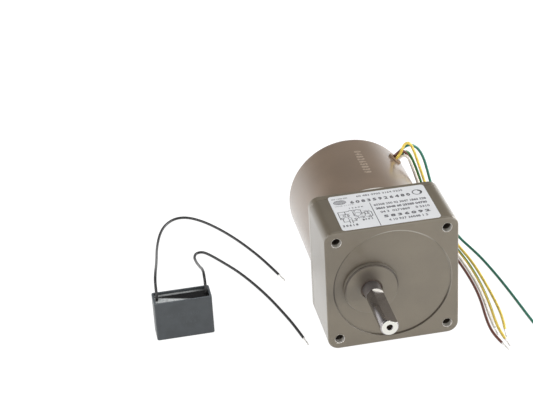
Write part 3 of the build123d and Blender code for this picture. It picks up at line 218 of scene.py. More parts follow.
class Finish(Nodes):
    """A material with one Principled shader."""

    def __init__(self, name):
        self.material = bpy.data.materials.new(name)
        self.material.use_nodes = True
        super().__init__(self.material.node_tree)
        self.shader = self.tree.nodes["Principled BSDF"]

    def place(self):
        """The piece's own coordinates, in metres."""
        return self.node("ShaderNodeTexCoord", {}, out="Object")

    def parts(self, vector):
        """x, y and z of a vector."""
        split = self.node("ShaderNodeSeparateXYZ", {}, vector).socket.node
        return [Value(self, socket) for socket in split.outputs]

    def axes(self):
        """x, y and z of the piece's own coordinates, in millimetres."""
        return [part * (1 / MM) for part in self.parts(self.place())]

    def across(self):
        """u and v of the piece's UV map."""
        return self.parts(self.node("ShaderNodeTexCoord", {}, out="UV"))[:2]

    def joined(self, x, y, z):
        """A vector, with x, y and z in metres where it places a texture."""
        return self.node("ShaderNodeCombineXYZ", {}, x, y, z)

    def noise(self, size, detail=2.0, where=None):
        """Noise whose patches are about size millimetres across, from 0 to 1."""
        return self.node("ShaderNodeTexNoise", {}, Vector=where or self.place(), Scale=1 / (size * MM),
                         Detail=detail)

    def grains(self, size):
        """Distance to the nearest of many scattered points, about size millimetres apart."""
        return self.node("ShaderNodeTexVoronoi", {}, Vector=self.place(), Scale=1 / (size * MM))

    def mix(self, mask, low, high):
        """Colour low where the mask is 0, and colour high where it is 1."""
        return self.node("ShaderNodeMix", {"data_type": "RGBA"}, mask, *[None] * 5, low, high, out=2)

    def bump(self, height, depth, normal=None):
        """A bump whose height of 1 stands depth millimetres out of the surface."""
        return self.node("ShaderNodeBump", {}, Height=height, Distance=depth * MM, Strength=1.0,
                         Normal=normal)

    def rounded(self, radius):
        """The surface's normal with its sharp edges rounded by a radius in millimetres."""
        return self.node("ShaderNodeBevel", {"samples": 6}, Radius=radius * MM)

    def wear(self, radius):
        """1 on sharp edges, falling to 0 at about a radius in millimetres from them."""
        true = self.node("ShaderNodeNewGeometry", {}, out="True Normal")
        same = self.node("ShaderNodeVectorMath", {"operation": "DOT_PRODUCT"}, true, self.rounded(radius),
                         out="Value")
        return same.ramp(0.995, 0.93)

    def set(self, **sockets):
        """Sets the shader's sockets, such as base_color or roughness."""
        for name, value in sockets.items():
            self.feed(self.shader.inputs[name.replace("_", " ").title()], value)
        return self.material


def srgb(red, green, blue):
    """A colour as seen on a screen, from 0 to 255, as the shader's linear numbers."""
    c = np.array((red, green, blue)) / 255
    linear = np.where(c <= 0.04045, c / 12.92, ((c + 0.055) / 1.055) ** 2.4)
    return (*[float(v) for v in linear], 1.0)


def shade(colour, factor):
    """A colour made darker or lighter."""
    return (*[min(1.0, v * factor) for v in colour[:3]], 1.0)


def dress(names, material):
    """Gives one material to CAD nodes or pieces."""
    for name in names:
        slots = bpy.data.objects[name].data.materials
        slots.clear()
        slots.append(material)


# ---- finishes ----
# Painted shade on the gear case: darkens its paint
PAINTED_SHADE = srgb(52, 43, 37)
# Machined metal; the same colour also paints highlights
BARE_METAL_AND_HIGHLIGHT = srgb(236, 232, 225)
# Painted highlight on the shaft's faced end
FACED_END_HIGHLIGHT = srgb(220, 219, 212)
# Painted shade on the shaft between its flat and its root
ROOT_SHADE_STEEL = srgb(74, 66, 60)
OILY_STEEL = srgb(96, 84, 76)
# Painted shade in the shaft's centre drilling
CENTRE_HOLE_SHADE = srgb(58, 52, 46)
# Painted highlight on the shaft's run-out
RUN_OUT_HIGHLIGHT = srgb(232, 229, 222)
RUST = srgb(118, 84, 62)
DUST = srgb(150, 142, 134)
# Painted highlight on the capacitor's resin
RESIN_HIGHLIGHT = srgb(232, 236, 236)


def paint(name, colour, bare_and_highlight=None, peel=0.006, shade_mask=None):
    """Semi-gloss stoved paint with orange peel, faint mottling and thin spots on the edges.

    bare takes x, y and z in millimetres and gives 1 where machined metal shows and where highlights are
    painted on. grime does the same for painted shade, which darkens the paint and makes it duller.
    """
    f = Finish(name)
    x, y, z = f.axes()
    cloud = f.noise(14, 3.0)
    speck = f.noise(0.5, 2.0).ramp(0.60, 0.74)
    coat = f.mix(cloud.ramp(0.3, 0.7), shade(colour, 0.95), shade(colour, 1.05))
    coat = f.mix(speck * 0.35, coat, shade(colour, 0.72))
    thin = f.wear(0.3) * f.noise(1.1, 3.0).ramp(0.45, 0.65)
    coat = f.mix(thin * 0.08, coat, shade(colour, 1.7))
    clear, rough = 0.8, 0.30 + 0.08 * cloud + 0.08 * speck
    # Painted shade: the paint darker and duller where the mask lies
    if shade_mask is not None:
        shading = shade_mask(x, y, z)
        coat = f.mix(shading * (0.75 + 0.5 * cloud), coat, PAINTED_SHADE)
        clear, rough = clear * (1 - shading), rough + 0.3 * shading
    metallic = 0.0
    # Machined metal, and highlights painted in the same bright metal
    if bare_and_highlight is not None:
        metal = bare_and_highlight(x, y, z)
        cut = f.noise(0.25, 1.0, f.joined(x * 0.02, y * MM, z * 0.02))
        coat, metallic = f.mix(metal, coat, BARE_METAL_AND_HIGHLIGHT), metal * 0.35
        rough = rough * (1 - metal) + (0.30 + 0.16 * cut) * metal
        clear = clear * (1 - metal)
    texture = f.noise(1.3, 2.0) + f.noise(0.35, 1.0) * 0.3
    return f.set(base_color=coat, metallic=metallic, roughness=rough, coat_weight=clear, coat_roughness=0.2,
                 normal=f.bump(texture, peel, f.rounded(0.22)))


def reach(across, up):
    """Distance from the line that across and up are measured from."""
    return (across * across + up * up) ** 0.5


def in_hole(x, z):
    """1 inside the mounting holes and on their chamfers."""
    return reach(abs(x) - HOLE_OFFSET, abs(z - AXIS_Z) - HOLE_OFFSET) < HOLE_RIM_R


def case_metal_and_highlights(x, y, z):
    """Where metal shows on the gear case, and where highlights are painted on it.

    The chamfers of the mounting holes are cut after painting. Painted highlights lie at the top and the
    right of the recess's edge, and a faint one on the upper wall of the boss.
    """
    up = z - AXIS_Z
    chamfers = in_hole(x, z) * y.ramp(FACE_Y + 3.0, FACE_Y + 2.2)
    edge = abs(reach(x, up) - RECESS_R - 0.1).ramp(0.6, 0.2)
    # Painted highlights on the recess's edge, at its top and its right
    top = up.ramp(17.0, 24.0) * x.ramp(-12.0, 0.0) * 0.22
    right = x.ramp(22.0, 25.0) * up.ramp(-12.0, -6.0) * 0.1
    # Painted highlight on the upper wall of the boss
    wall = abs(reach(x - SHAFT_X, up) - BOSS_R).ramp(0.1, 0.05)
    wall = wall * y.between(BOSS_FRONT + BOSS_EDGE, RECESS_FLOOR - 0.3) * up.ramp(-4.0, 4.0)
    return chamfers + edge * (top + right) + wall * 0.1


def case_painted_shade(x, y, z):
    """Painted shade on the gear case.

    It lies far inside the holes, as a dark line on the upper half of the boss's rim and a faint ring round
    the upper half of its foot, as painted shadows of the boss and the shaft above and to the left of them,
    and on parts of the recess's edge. The upper left of the face is painted a little darker. Where it lies,
    the paint is also duller.
    """
    across, up = x - SHAFT_X, z - AXIS_Z
    from_shaft = reach(across, up)
    upper = up.ramp(-5.0, 4.0)
    floor = y > RECESS_FLOOR - 0.2
    # Painted shade: a dark line on the upper half of the boss's rim
    rim = from_shaft.ramp(BOSS_R - 0.8, BOSS_R - 0.55) * (from_shaft < BOSS_R + 0.1)
    rim = rim * (y < BOSS_FRONT + BOSS_EDGE) * upper
    # Painted shade: a faint dark ring round the upper half of the boss's foot
    foot = abs(from_shaft - (BOSS_R + 0.35)).ramp(0.5, 0.1) * upper * floor
    # Painted shadow of the boss on the recess's floor, above and to its left
    boss_shadow = from_shaft.ramp(BOSS_R + 7.0, BOSS_R) * upper * floor * x.ramp(6.0, -8.0)
    # Painted shadow of the shaft on the face, above and to the left of its root
    shadow_x, shadow_z = across + 1.6, up - 5.6
    shaft_shadow = ((shadow_x * shadow_x + shadow_z * shadow_z * 0.8) ** 0.5).ramp(7.8, 1.2)
    # Painted shade on the recess's edge: at the left, the lower right and faintly the lower left
    edge = abs(reach(x, up) - RECESS_R).ramp(0.55, 0.15)
    sides = x.ramp(-16.0, -22.0) * up.ramp(-12.0, -2.0) + (x * 0.6 - up).ramp(16.0, 27.0)
    below = up.ramp(2.0, -8.0) * x.ramp(4.0, -6.0)
    # Painted shade far inside the mounting holes
    hole_shade = in_hole(x, z) * (y > FACE_Y + 2.2)
    # Painted shade: the face's upper left a little darker
    upper_left_shade = x.ramp(14.0, -26.0) * up.ramp(-16.0, 14.0)
    return (rim * 0.9 + foot * 0.12 + boss_shadow * 0.2 + shaft_shadow * 0.68 + edge * (sides * 0.6 + below * 0.13)
            + hole_shade + upper_left_shade * 0.17).or_less(0.8)


def drum_rim_highlight(x, y, z):
    """A painted highlight along the drum's front rim."""
    return (y < REGISTER_BACK + 0.9) * 0.35


def register_ring(x, y, z):
    """The machined step between the flange and the housing."""
    return y.between(FLANGE_BACK + 0.05, REGISTER_BACK)


def turned_steel(name, colour, axis_x, rough=0.12, root=None):
    """Ground steel shaft along Y: fine lines round it, a painted highlight on its ringed end, a trace of oil
    stains.

    axis_x and root are in millimetres. A shaft with a root is the flatted one. From y = root backwards it
    is oily. Between its flat and the root it is painted darker and duller as shade, its centre drilling is
    painted dark as shade, and the cutter's run-out carries a painted highlight.
    """
    f = Finish(name)
    x, y, z = f.axes()
    across, up = x - axis_x, z - AXIS_Z
    from_axis = reach(across, up)
    lines = f.noise(1.0, 3.0, f.joined(y * 0.012, from_axis * 0.012, 0.0))
    stain = f.noise(3.0, 3.0).ramp(0.45, 0.75)
    body = f.mix(stain * 0.4, colour, shade(colour, 0.75))
    # Painted highlight: the faced end is lighter steel
    body = f.mix(y < SHAFT_TIP + 0.02, body, FACED_END_HIGHLIGHT)
    metallic, roughness = 1.0, rough + 0.10 * lines + 0.06 * stain
    if root is not None:
        flat_end = SHAFT_TIP + FLAT_LENGTH
        # Painted shade: darker, duller steel between the flat and the root
        root_shade = y > flat_end + 0.02
        # Painted shade in the centre drilling
        drilled = (from_axis < CENTRE_R) * (y > SHAFT_TIP + 0.1)
        turn = np.radians(FLAT_TURN)
        over_flat = across * np.sin(turn) + up * np.cos(turn) > FLAT_ACROSS - 0.05
        # Painted highlight on the cutter's run-out at the end of the flat
        run_out_highlight = y.ramp(flat_end - 1.0, flat_end - 0.3) * (y < flat_end + 0.02) * over_flat
        for mask, tone in ((root_shade * 0.75, ROOT_SHADE_STEEL), (y > root, OILY_STEEL), (drilled, CENTRE_HOLE_SHADE),
                           (run_out_highlight, RUN_OUT_HIGHLIGHT)):
            body = f.mix(mask, body, tone)
        metallic = 1 - run_out_highlight * 0.9 - root_shade * 0.7
        roughness = roughness + 0.3 * run_out_highlight + 0.15 * root_shade
    height = lines + 0.4 * (from_axis * (2 * np.pi / TURNING_PITCH)).sine()
    return f.set(base_color=body, metallic=metallic, roughness=roughness,
                 normal=f.bump(height, 0.0012, f.rounded(0.12)))


def plated_steel(name, colour, rough=0.32):
    """Zinc plating with soft cloudy spangle."""
    f = Finish(name)
    cloud = f.noise(0.9, 3.0)
    tone = f.mix(cloud.ramp(0.35, 0.65), shade(colour, 0.88), colour)
    return f.set(base_color=tone, metallic=1.0, roughness=rough + 0.14 * cloud,
                 normal=f.bump(f.noise(0.25, 1.0), 0.003, f.rounded(0.1)))


def cast_metal(name, colour, rough=0.5, grain=0.02):
    """Cast or sintered metal with open grains."""
    f = Finish(name)
    grains = f.grains(0.45)
    tone = f.mix(f.noise(2.0, 3.0).ramp(0.3, 0.7), shade(colour, 0.85), colour)
    return f.set(base_color=tone, metallic=1.0, roughness=rough + 0.15 * grains,
                 normal=f.bump(grains, grain))


def laminations(name, colour):
    """Stacked sheets, half a millimetre each, seen on edge as lines across Y."""
    f = Finish(name)
    _, y, _ = f.axes()
    sheet = (y * 2.0).fraction()
    edge = sheet.ramp(0.0, 0.16) * sheet.ramp(1.0, 0.84)
    rust = f.noise(1.6, 3.0).ramp(0.55, 0.8)
    tone = f.mix(rust * 0.5, colour, RUST)
    return f.set(base_color=tone, metallic=0.9, roughness=0.42 + 0.2 * rust, normal=f.bump(edge, 0.03))


def enamelled_wire(name, colour):
    """Wound wire: rows of round strands along the coil."""
    f = Finish(name)
    x, _, z = f.axes()
    crowns = ((x * 9.0).sine() + (z * 9.0).sine()) * 0.25 + 0.5
    # Painted shade: darker in the grooves between the strands
    tone = f.mix(crowns, shade(colour, 0.45), colour)
    return f.set(base_color=tone, metallic=0.75, roughness=0.3, normal=f.bump(crowns, 0.05))


def fibre(name, colour):
    """Pressed fibre with flecks drawn out along Y."""
    f = Finish(name)
    fleck = f.noise(0.3, 3.0, f.joined(*[a * MM * s for a, s in zip(f.axes(), (1, 0.2, 1))]))
    return f.set(base_color=f.mix(fleck, shade(colour, 0.8), colour), roughness=0.75,
                 normal=f.bump(fleck, 0.02))


def rubber(name, colour):
    """Moulded rubber with a dusty bloom."""
    f = Finish(name)
    bloom = f.noise(1.5, 4.0).ramp(0.45, 0.75)
    tone = f.mix(bloom * 0.3, colour, DUST)
    return f.set(base_color=tone, roughness=0.55 + 0.15 * bloom,
                 normal=f.bump(f.noise(0.2, 2.0), 0.01, f.rounded(0.15)))


def moulded(name, colour, rim, rough):
    """Moulded plastic with a fine spark-eroded grain and rubbed edges.

    From the height rim, in metres, upwards it is painted lighter as a highlight on the tops of its walls.
    """
    f = Finish(name)
    texture = f.noise(0.22, 2.0)
    cloud = f.noise(6.0, 3.0)
    tone = f.mix(cloud.ramp(0.3, 0.7), shade(colour, 0.88), shade(colour, 1.1))
    tone = f.mix(f.wear(0.3) * 0.35, tone, shade(colour, 2.2))
    # Painted highlight: lighter from the height rim upwards, on the tops of the walls
    tone = f.mix((f.axes()[2] > rim / MM - 0.05) * 0.6, tone, shade(colour, 3.0))
    return f.set(base_color=tone, roughness=rough + 0.12 * cloud,
                 normal=f.bump(texture, 0.012, f.rounded(0.2)))


def resin(name, colour, low, high):
    """Poured resin: glossy, with slow ripples and a few pin holes. It creeps up the box's walls.

    low and high are the corners of its surface, in metres. A pale painted highlight lies along its front,
    widest at the left, and a thin one along its back.
    """
    f = Finish(name)
    x, y, _ = f.axes()
    pits = f.grains(2.4).ramp(0.0, 0.12)
    creep = sum(abs(value - wall / MM).ramp(1.6, 0.0)
                for value, wall in ((x, low.x), (x, high.x), (y, low.y), (y, high.y)))
    height = f.noise(5.0, 1.0) + 0.25 * pits + 5.0 * creep
    along = (x - low.x / MM) / ((high.x - low.x) / MM)
    # Painted highlights: a pale wedge along the front, widest at the left, and a thin strip along the back
    front = (y - low.y / MM + along * 7.4).ramp(7.2, 5.6)
    back = (high.y / MM - y).ramp(1.9, 0.8) * along.ramp(1.0, 0.6)
    bloom = front.or_more(back * 0.5) * f.noise(1.6, 2.0).ramp(0.2, 0.5, 0.6, 1.0)
    tone = f.mix(f.noise(3.0, 2.0), shade(colour, 0.8), shade(colour, 1.5))
    return f.set(base_color=f.mix(bloom * 0.85, tone, RESIN_HIGHLIGHT),
                 roughness=0.12 + 0.1 * f.noise(4.0, 2.0), normal=f.bump(height, 0.12), coat_weight=0.4)


def insulation(name, colour, rough=0.38):
    """Soft extruded insulation: drawn lines along the lead and a faint waviness."""
    f = Finish(name)
    u, v = f.across()
    lines = f.noise(1.0, 2.0, f.joined(u * 0.02, v * 0.05, 0.0))
    wave = f.noise(2.2, 2.0)
    tone = f.mix(wave.ramp(0.3, 0.7), shade(colour, 0.86), shade(colour, 1.06))
    return f.set(base_color=tone, roughness=rough + 0.14 * lines, normal=f.bump(lines + wave, 0.012),
                 coat_weight=0.15)


def striped_insulation(name, ground, stripe):
    """Insulation with one stripe that winds slowly round the lead.

    u runs once round the lead and v is the distance along it in metres, so u + v / pitch is constant along
    the stripe's edge.
    """
    f = Finish(name)
    u, v = f.across()
    turn = (u + v * (1 / STRIPE_PITCH) + STRIPE_PHASE).fraction()
    share, edge = 0.45, 0.02
    mask = turn.ramp(0.0, edge) * turn.ramp(share, share + edge, 1.0, 0.0)
    wave = f.noise(2.2, 2.0)
    tone = f.mix(mask, ground, stripe)
    tone = f.mix(wave * 0.15, tone, srgb(60, 62, 40))
    return f.set(base_color=tone, roughness=0.36 + 0.12 * wave, normal=f.bump(wave, 0.012),
                 coat_weight=0.15)


def tinned_strands(name):
    """Dipped solder, blotchy and pale."""
    f = Finish(name)
    blotch = f.noise(0.5, 3.0)
    tone = f.mix(blotch.ramp(0.4, 0.7), srgb(232, 230, 226), srgb(250, 248, 244))
    return f.set(base_color=tone, metallic=0.4, roughness=0.2 + 0.15 * blotch,
                 normal=f.bump(f.noise(0.15, 2.0), 0.01))


def film(name, colour):
    """Satin polyester label with a soft sheen and faint scuffs."""
    f = Finish(name)
    soft = f.noise(7.0, 3.0)
    fine = f.noise(0.3, 2.0)
    tone = f.mix(soft.ramp(0.3, 0.7), shade(colour, 0.97), colour)
    return f.set(base_color=f.mix(fine.ramp(0.62, 0.8) * 0.3, tone, shade(colour, 0.8)),
                 roughness=0.34 + 0.1 * soft, normal=f.bump(soft * 2 + fine * 0.1, 0.015, f.rounded(0.1)),
                 coat_weight=0.2)


def ink(name, colour, rough=0.5):
    """Printed ink, a little thin in places."""
    f = Finish(name)
    thin = f.noise(0.6, 3.0).ramp(0.5, 0.8)
    return f.set(base_color=f.mix(thin * 0.35, colour, shade(colour, 2.2)), roughness=rough)


# ---- surfaces worked out with numpy ----
def mesh_piece(name, vertices, faces, uv=None, smooth=True):
    """Puts arrays of vertices, faces and one UV for each face corner into a new object at the origin."""
    mesh = bpy.data.meshes.new(name)
    mesh.from_pydata(vertices.tolist(), [], faces.tolist() if isinstance(faces, np.ndarray) else faces)
    if uv is not None:
        mesh.uv_layers.new(name="UVMap").data.foreach_set("uv", uv.astype(np.float32).ravel())
    mesh.shade_smooth() if smooth else mesh.shade_flat()
    mesh.update()
    piece = bpy.data.objects.new(name, mesh)
    bpy.context.scene.collection.objects.link(piece)
    return piece


def grid_faces(rows, columns, first=0):
    """Quads of a grid whose columns close round: row i, column j is vertex first + i * columns + j."""
    i, j = np.meshgrid(np.arange(rows - 1), np.arange(columns), indexing="ij")
    this, beside = i * columns + j, i * columns + (j + 1) % columns
    quads = np.stack([this, beside, beside + columns, this + columns], axis=-1)
    return first + quads.reshape(-1, 4)


def along_path(path):
    """Distance along a path, its directions, and two vectors across it that don't twist.

    Each step's frame is the last one turned by the smallest turn that follows the path's direction.
    """
    step = np.gradient(path, axis=0)
    way = step / np.linalg.norm(step, axis=1)[:, None]
    distance = np.concatenate([[0.0], np.cumsum(np.linalg.norm(np.diff(path, axis=0), axis=1))])
    side = np.zeros_like(way)
    guess = np.cross(way[0], (0.0, 0.0, 1.0) if abs(way[0][2]) < 0.9 else (0.0, 1.0, 0.0))
    for i, direction in enumerate(way):
        guess = guess - direction * (guess @ direction)
        guess = guess / np.linalg.norm(guess)
        side[i] = guess
    return distance, way, side, np.cross(way, side)


def tube(path, radii, sides):
    """A tube round a path: point (i, j) is path(i) + r(i) (side(i) cos a(j) + up(i) sin a(j)).

    Its ends are closed by fans. The UV holds the turn round the tube and the distance along it.
    """
    distance, way, side, up = along_path(path)
    angle = np.linspace(0, 2 * np.pi, sides, endpoint=False)
    spread = side[:, None] * np.cos(angle)[None, :, None] + up[:, None] * np.sin(angle)[None, :, None]
    points = path[:, None] + radii[:, None, None] * spread
    rows = len(path)
    faces = grid_faces(rows, sides)[:, ::-1]
    turn = np.tile(np.arange(sides) / sides, (rows, 1))
    v = np.tile(distance[:, None], (1, sides))
    vertex_uv = np.stack([turn, v], axis=-1).reshape(-1, 2)
    uv = vertex_uv[faces].copy()
    wrapped = uv[:, :, 0].max(1) - uv[:, :, 0].min(1) > 0.5
    uv[wrapped, :, 0] = np.where(uv[wrapped, :, 0] < 0.5, uv[wrapped, :, 0] + 1, uv[wrapped, :, 0])
    return points.reshape(-1, 3), faces, uv


def closed_tube(name, path, radii, sides):
    """A tube as a piece, its two ends closed by flat caps."""
    points, faces, uv = tube(path, radii, sides)
    last = (len(path) - 1) * sides
    caps = [list(range(sides)), list(range(last + sides - 1, last - 1, -1))]
    cap_uv = np.tile((0.5, 0.0), (2 * sides, 1))
    return mesh_piece(name, points, faces.tolist() + caps, np.concatenate([uv.reshape(-1, 2), cap_uv]))


def route_points(points, steps):
    """Points along the smooth line of a route: a quadratic B-spline that is clamped at its ends."""
    curve = bpy.data.curves.new("route", "CURVE")
    curve.dimensions = "3D"
    spline = curve.splines.new("NURBS")
    spline.points.add(len(points) - 1)
    for knot, point in zip(spline.points, points):
        x, y, z = point if len(point) == 3 else (*point, ON_FLOOR)
        knot.co = (x * MM, y * MM, z * MM, 1.0)
    spline.order_u = 3
    spline.use_endpoint_u = True
    spline.resolution_u = steps
    holder = bpy.data.objects.new("route", curve)
    line = bpy.data.meshes.new_from_object(holder)
    path = np.zeros(len(line.vertices) * 3)
    line.vertices.foreach_get("co", path)
    bpy.data.objects.remove(holder)
    bpy.data.curves.remove(curve)
    bpy.data.meshes.remove(line)
    return path.reshape(-1, 3)


def lead_radii(distance, radius, length):
    """The lead's radius along it: constant, with its cut end rounded over a tenth of a millimetre.

    There it is r (0.86 + 0.14 sqrt(1 - (1 - t)^2)), where t is the share of that stretch left to the end.
    """
    left = np.clip((length - distance) / (0.1 * MM), 0, 1)
    return radius * (0.86 + 0.14 * np.sqrt(np.clip(1 - (1 - left) ** 2, 0, 1)))


def strands(name, end, way, length, strand_r, turns):
    """A twisted end: one strand in the middle and six round it.

    Strand k runs at two of its radii from the middle line, at the angle 2 pi (k / 6 + turns s), where s is
    the share of the length. The bundle is a quarter wider where it starts, and its end tapers.
    """
    rows, sides, count = 28, 8, 6
    s = np.linspace(0, 1, rows)
    side = np.cross(way, (0.0, 0.0, 1.0))
    side = side / np.linalg.norm(side)
    up = np.cross(way, side)
    gather = np.interp(s, [0, 0.12, 1], [1.25, 1.0, 1.0])
    radii = strand_r * np.interp(s, [0, 0.93, 1], [1, 1, 0.45])
    all_points, all_faces = [], []
    for k in range(count + 1):
        angle = 2 * np.pi * (k / count + turns * s)
        away = 2 * strand_r * gather * (k < count)
        line = end + np.outer(s * length * (1 - 0.02 * (k % 3)), way)
        line = line + away[:, None] * (np.outer(np.cos(angle), side) + np.outer(np.sin(angle), up))
        points, faces, _ = tube(line, radii, sides)
        first = k * rows * sides
        caps = [first + np.arange(sides), first + (rows - 1) * sides + np.arange(sides)[::-1]]
        all_points.append(points)
        all_faces += (faces + first).tolist() + [cap.tolist() for cap in caps]
    return mesh_piece(name, np.concatenate(all_points), all_faces)


def add_lead(name, points, body, slot, sleeve, tinned, settings):
    """One lead with its tinned end, on the body that it comes out of. sleeve and tinned are materials."""
    path = route_points(points, settings.steps)
    distance, way, _, _ = along_path(path)
    radii = lead_radii(distance, settings.diameter / 2, distance[-1])
    piece = closed_tube(name + "_insulation", path, radii, settings.sides)
    strand_r = settings.tip_diameter / 6.2      # three lie side by side in a little less than the tip
    tip = strands(name + "_strands", path[-1], way[-1], settings.tip_length, strand_r, settings.twist)
    for made, node, finish in ((piece, name, slot), (tip, name + "_tip", "tinned")):
        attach(made, body)
        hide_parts(node)
    dress([piece.name], sleeve)
    dress([tip.name], tinned)


# ---- flat print ----
class Print:
    """Flat print collected in a plane, in millimetres, and laid on a surface as one mesh."""

    def __init__(self):
        self.vertices, self.faces, self.count = [], [], 0

    def add(self, vertices, faces):
        """Adds faces whose corners are counted from the first of these vertices."""
        self.vertices.append(np.asarray(vertices, float)[:, :2])
        self.faces += [[self.count + int(i) for i in face] for face in faces]
        self.count += len(vertices)

    def line(self, points, width):
        """A line of that width through points. Each run is a rectangle, half a width longer at each end."""
        for (ax, ay), (bx, by) in zip(points, points[1:]):
            run = np.array([bx - ax, by - ay])
            run = run / np.linalg.norm(run) * width / 2
            across = np.array([-run[1], run[0]])
            a, b = np.array([ax, ay]) - run, np.array([bx, by]) + run
            self.add([a - across, b - across, b + across, a + across], [(0, 1, 2, 3)])

    def hoop(self, x, y, rx, ry, width, start=0.0, end=360.0):
        """A hoop or an arc of one, from start to end degrees.

        At the angle a its outside is (x + rx cos a, y + ry sin a). Its inside is the same with rx and ry
        less by the width.
        """
        steps = 33
        a = np.radians(np.linspace(start, end, steps))
        ring = np.stack([np.cos(a), np.sin(a)], axis=1)
        outer = ring * (rx, ry) + (x, y)
        inner = ring * (rx - width, ry - width) + (x, y)
        i = np.arange(steps - 1)
        self.add(np.concatenate([outer, inner]), np.stack([i, i + 1, i + 1 + steps, i + steps], axis=1))

    def digits(self, text, x, y, height, width, weight=0.02):
        """Plain figures from (x, y), of that height and width. Weight thickens their strokes."""
        font = bpy.data.curves.new("figures", "FONT")
        font.body, font.size, font.resolution_u, font.offset = text, 1.0, 2, weight
        holder = bpy.data.objects.new("figures", font)
        mesh = bpy.data.meshes.new_from_object(holder)
        co = np.zeros(len(mesh.vertices) * 3)
        mesh.vertices.foreach_get("co", co)
        co = co.reshape(-1, 3)[:, :2]
        co = (co - co.min(0)) / (co.max(0) - co.min(0))
        self.add(co * (width, height) + (x, y), [tuple(p.vertices) for p in mesh.polygons])
        bpy.data.objects.remove(holder)
        bpy.data.curves.remove(font)
        bpy.data.meshes.remove(mesh)

    def lay(self, name, onto):
        """Makes the piece. onto takes arrays of x and y in millimetres and gives points in metres."""
        flat = np.concatenate(self.vertices)
        return mesh_piece(name, onto(flat[:, 0], flat[:, 1]), self.faces, smooth=False)


LABEL_DEPTH = 30.5          # of the field that the rows below are set out in, in millimetres
# Rows of print: figures, left end, foot, height, width and weight
LABEL_ROWS = (
    ("407 1936 250", 1.1, 27.3, 0.95, 7.4, 0.03),
    ("60 482 0705 3164 9205", 12.6, 27.1, 1.6, 21.2, 0.02),
    ("6 0 8 3 5 9 2 6 4 8 0", 8.8, 22.0, 2.6, 27.4, 0.05),
    ("2048 51763", 1.4, 20.9, 0.7, 8.4, 0.0),
    ("1 2 6 0 8", 7.2, 17.8, 1.1, 6.2, 0.03),
    ("60368 250 92 3047 1860 528", 18.2, 17.2, 1.9, 23.8, 0.03),
    ("3860 2948 60 29385 04730", 18.4, 13.8, 2.0, 23.2, 0.05),
    ("04 3  0271869    0 5310", 19.6, 10.4, 1.9, 22.2, 0.03),
    ("5 8 3 6 0 9 2", 20.2, 6.1, 2.4, 20.6, 0.06),
    ("4 10 937 36048 1 5", 21.4, 2.8, 1.9, 17.6, 0.03),
    ("3 0 6 1 8", 1.0, 2.7, 1.9, 6.8, 0.06),
)
DRUM_ROWS = (("0 4 8 2 6 5 8 3 9", 0.0, 0.0, 3.7, 22.5, 0.05),)
CAPACITOR_ROWS = (("60  1.2  450", 5.4, 11.4, 2.0, 14.5, 0.0), ("25 70 21 0 5", 5.8, 7.4, 1.4, 12.5, 0.0))
DRUM_ROW_START = 57.5       # y where the drum's row starts; it runs forwards
DRUM_ROW_TURN = 84.5        # degrees round the drum from +X, of the line DRUM_ROW_RISE up the figures
DRUM_ROW_RISE = 2.7


def print_rows(rows):
    """A sheet with those rows on it."""
    sheet = Print()
    for row in rows:
        sheet.digits(*row)
    return sheet


def add_print(name, sheet, onto, finish, body):
    """Lays a sheet on a surface, gives it the finish, and attaches it as a piece of that body."""
    piece = sheet.lay(name, onto)
    dress([piece.name], finish)
    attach(piece, body)


def nameplate_print():
    """Plain figures in rows, an emblem of plain lines, a round mark, and a diagram on the left."""
    sheet = print_rows(LABEL_ROWS)
    x, y, half_width, half_height = 4.3, 24.4, 2.9, 1.9
    sheet.hoop(x, y, half_width, half_height, 0.22)
    for rise in (-1.35, -0.7, 0.0, 0.7, 1.35):
        half = half_width * np.sqrt(1 - (rise / half_height) ** 2) * 0.9
        sheet.line([(x - half, y + rise), (x + half, y + rise)], 0.38)
    sheet.hoop(39.6, 24.3, 2.3, 2.3, 0.5)
    sheet.hoop(40.3, 24.3, 1.6, 1.7, 0.85, -75, 95)
    sheet.line([(17.0, 0.2), (17.0, 20.6)], 0.34)
    wiring_diagram(sheet)
    return sheet


def wiring_diagram(sheet):
    """Two coils with a capacitor between their ends, above a row of terminals."""
    thick, fine = 0.36, 0.24
    for points in (((1.4, 9.4), (1.4, 15.8), (4.4, 15.8), (4.4, 13.2)), ((4.4, 15.8), (6.0, 15.8)),
                   ((10.7, 15.8), (11.5, 15.8), (11.5, 11.8)), ((7.9, 15.0), (7.9, 11.4), (9.2, 10.2)),
                   ((11.5, 12.9), (12.5, 12.9)), ((15.8, 12.9), (15.8, 9.6), (14.4, 8.4)),
                   ((4.9, 5.6), (4.9, 8.4)), ((6.1, 5.6), (6.1, 8.4)), ((2.4, 9.4), (2.4, 7.0), (4.7, 7.0)),
                   ((6.3, 7.0), (8.0, 7.0), (8.0, 8.0))):
        sheet.line(points, thick)
    for x, y in ((6.9, 15.6), (8.4, 15.6), (9.9, 15.6), (13.4, 12.9), (14.9, 12.9)):
        sheet.hoop(x, y, 0.95, 0.95, thick, 0, 180)
    for x, y in ((2.4, 10.2), (8.0, 8.6), (14.4, 9.0)):
        sheet.hoop(x, y, 0.75, 0.75, thick)
    for x, y, r in ((4.4, 12.2, 1.5), (9.7, 12.4, 1.5), (13.6, 10.4, 1.3), (5.5, 9.6, 0.9),
                    (11.0, 9.4, 0.9)):
        sheet.hoop(x, y, r, r, fine)
    for points in (((2.0, 13.6), (6.2, 13.6)), ((8.6, 14.2), (8.6, 16.4)), ((12.4, 14.4), (15.2, 14.4))):
        sheet.line(points, fine)
    for text, x, y, width in (("1", 10.6, 6.2, 0.8), ("2 6", 3.4, 11.4, 2.2), ("1 2", 9.2, 8.6, 3.0),
                              ("4 8 3", 11.6, 6.4, 3.6), ("5 0", 12.4, 11.4, 2.4)):
        sheet.digits(text, x, y, 1.5, width, 0.03)


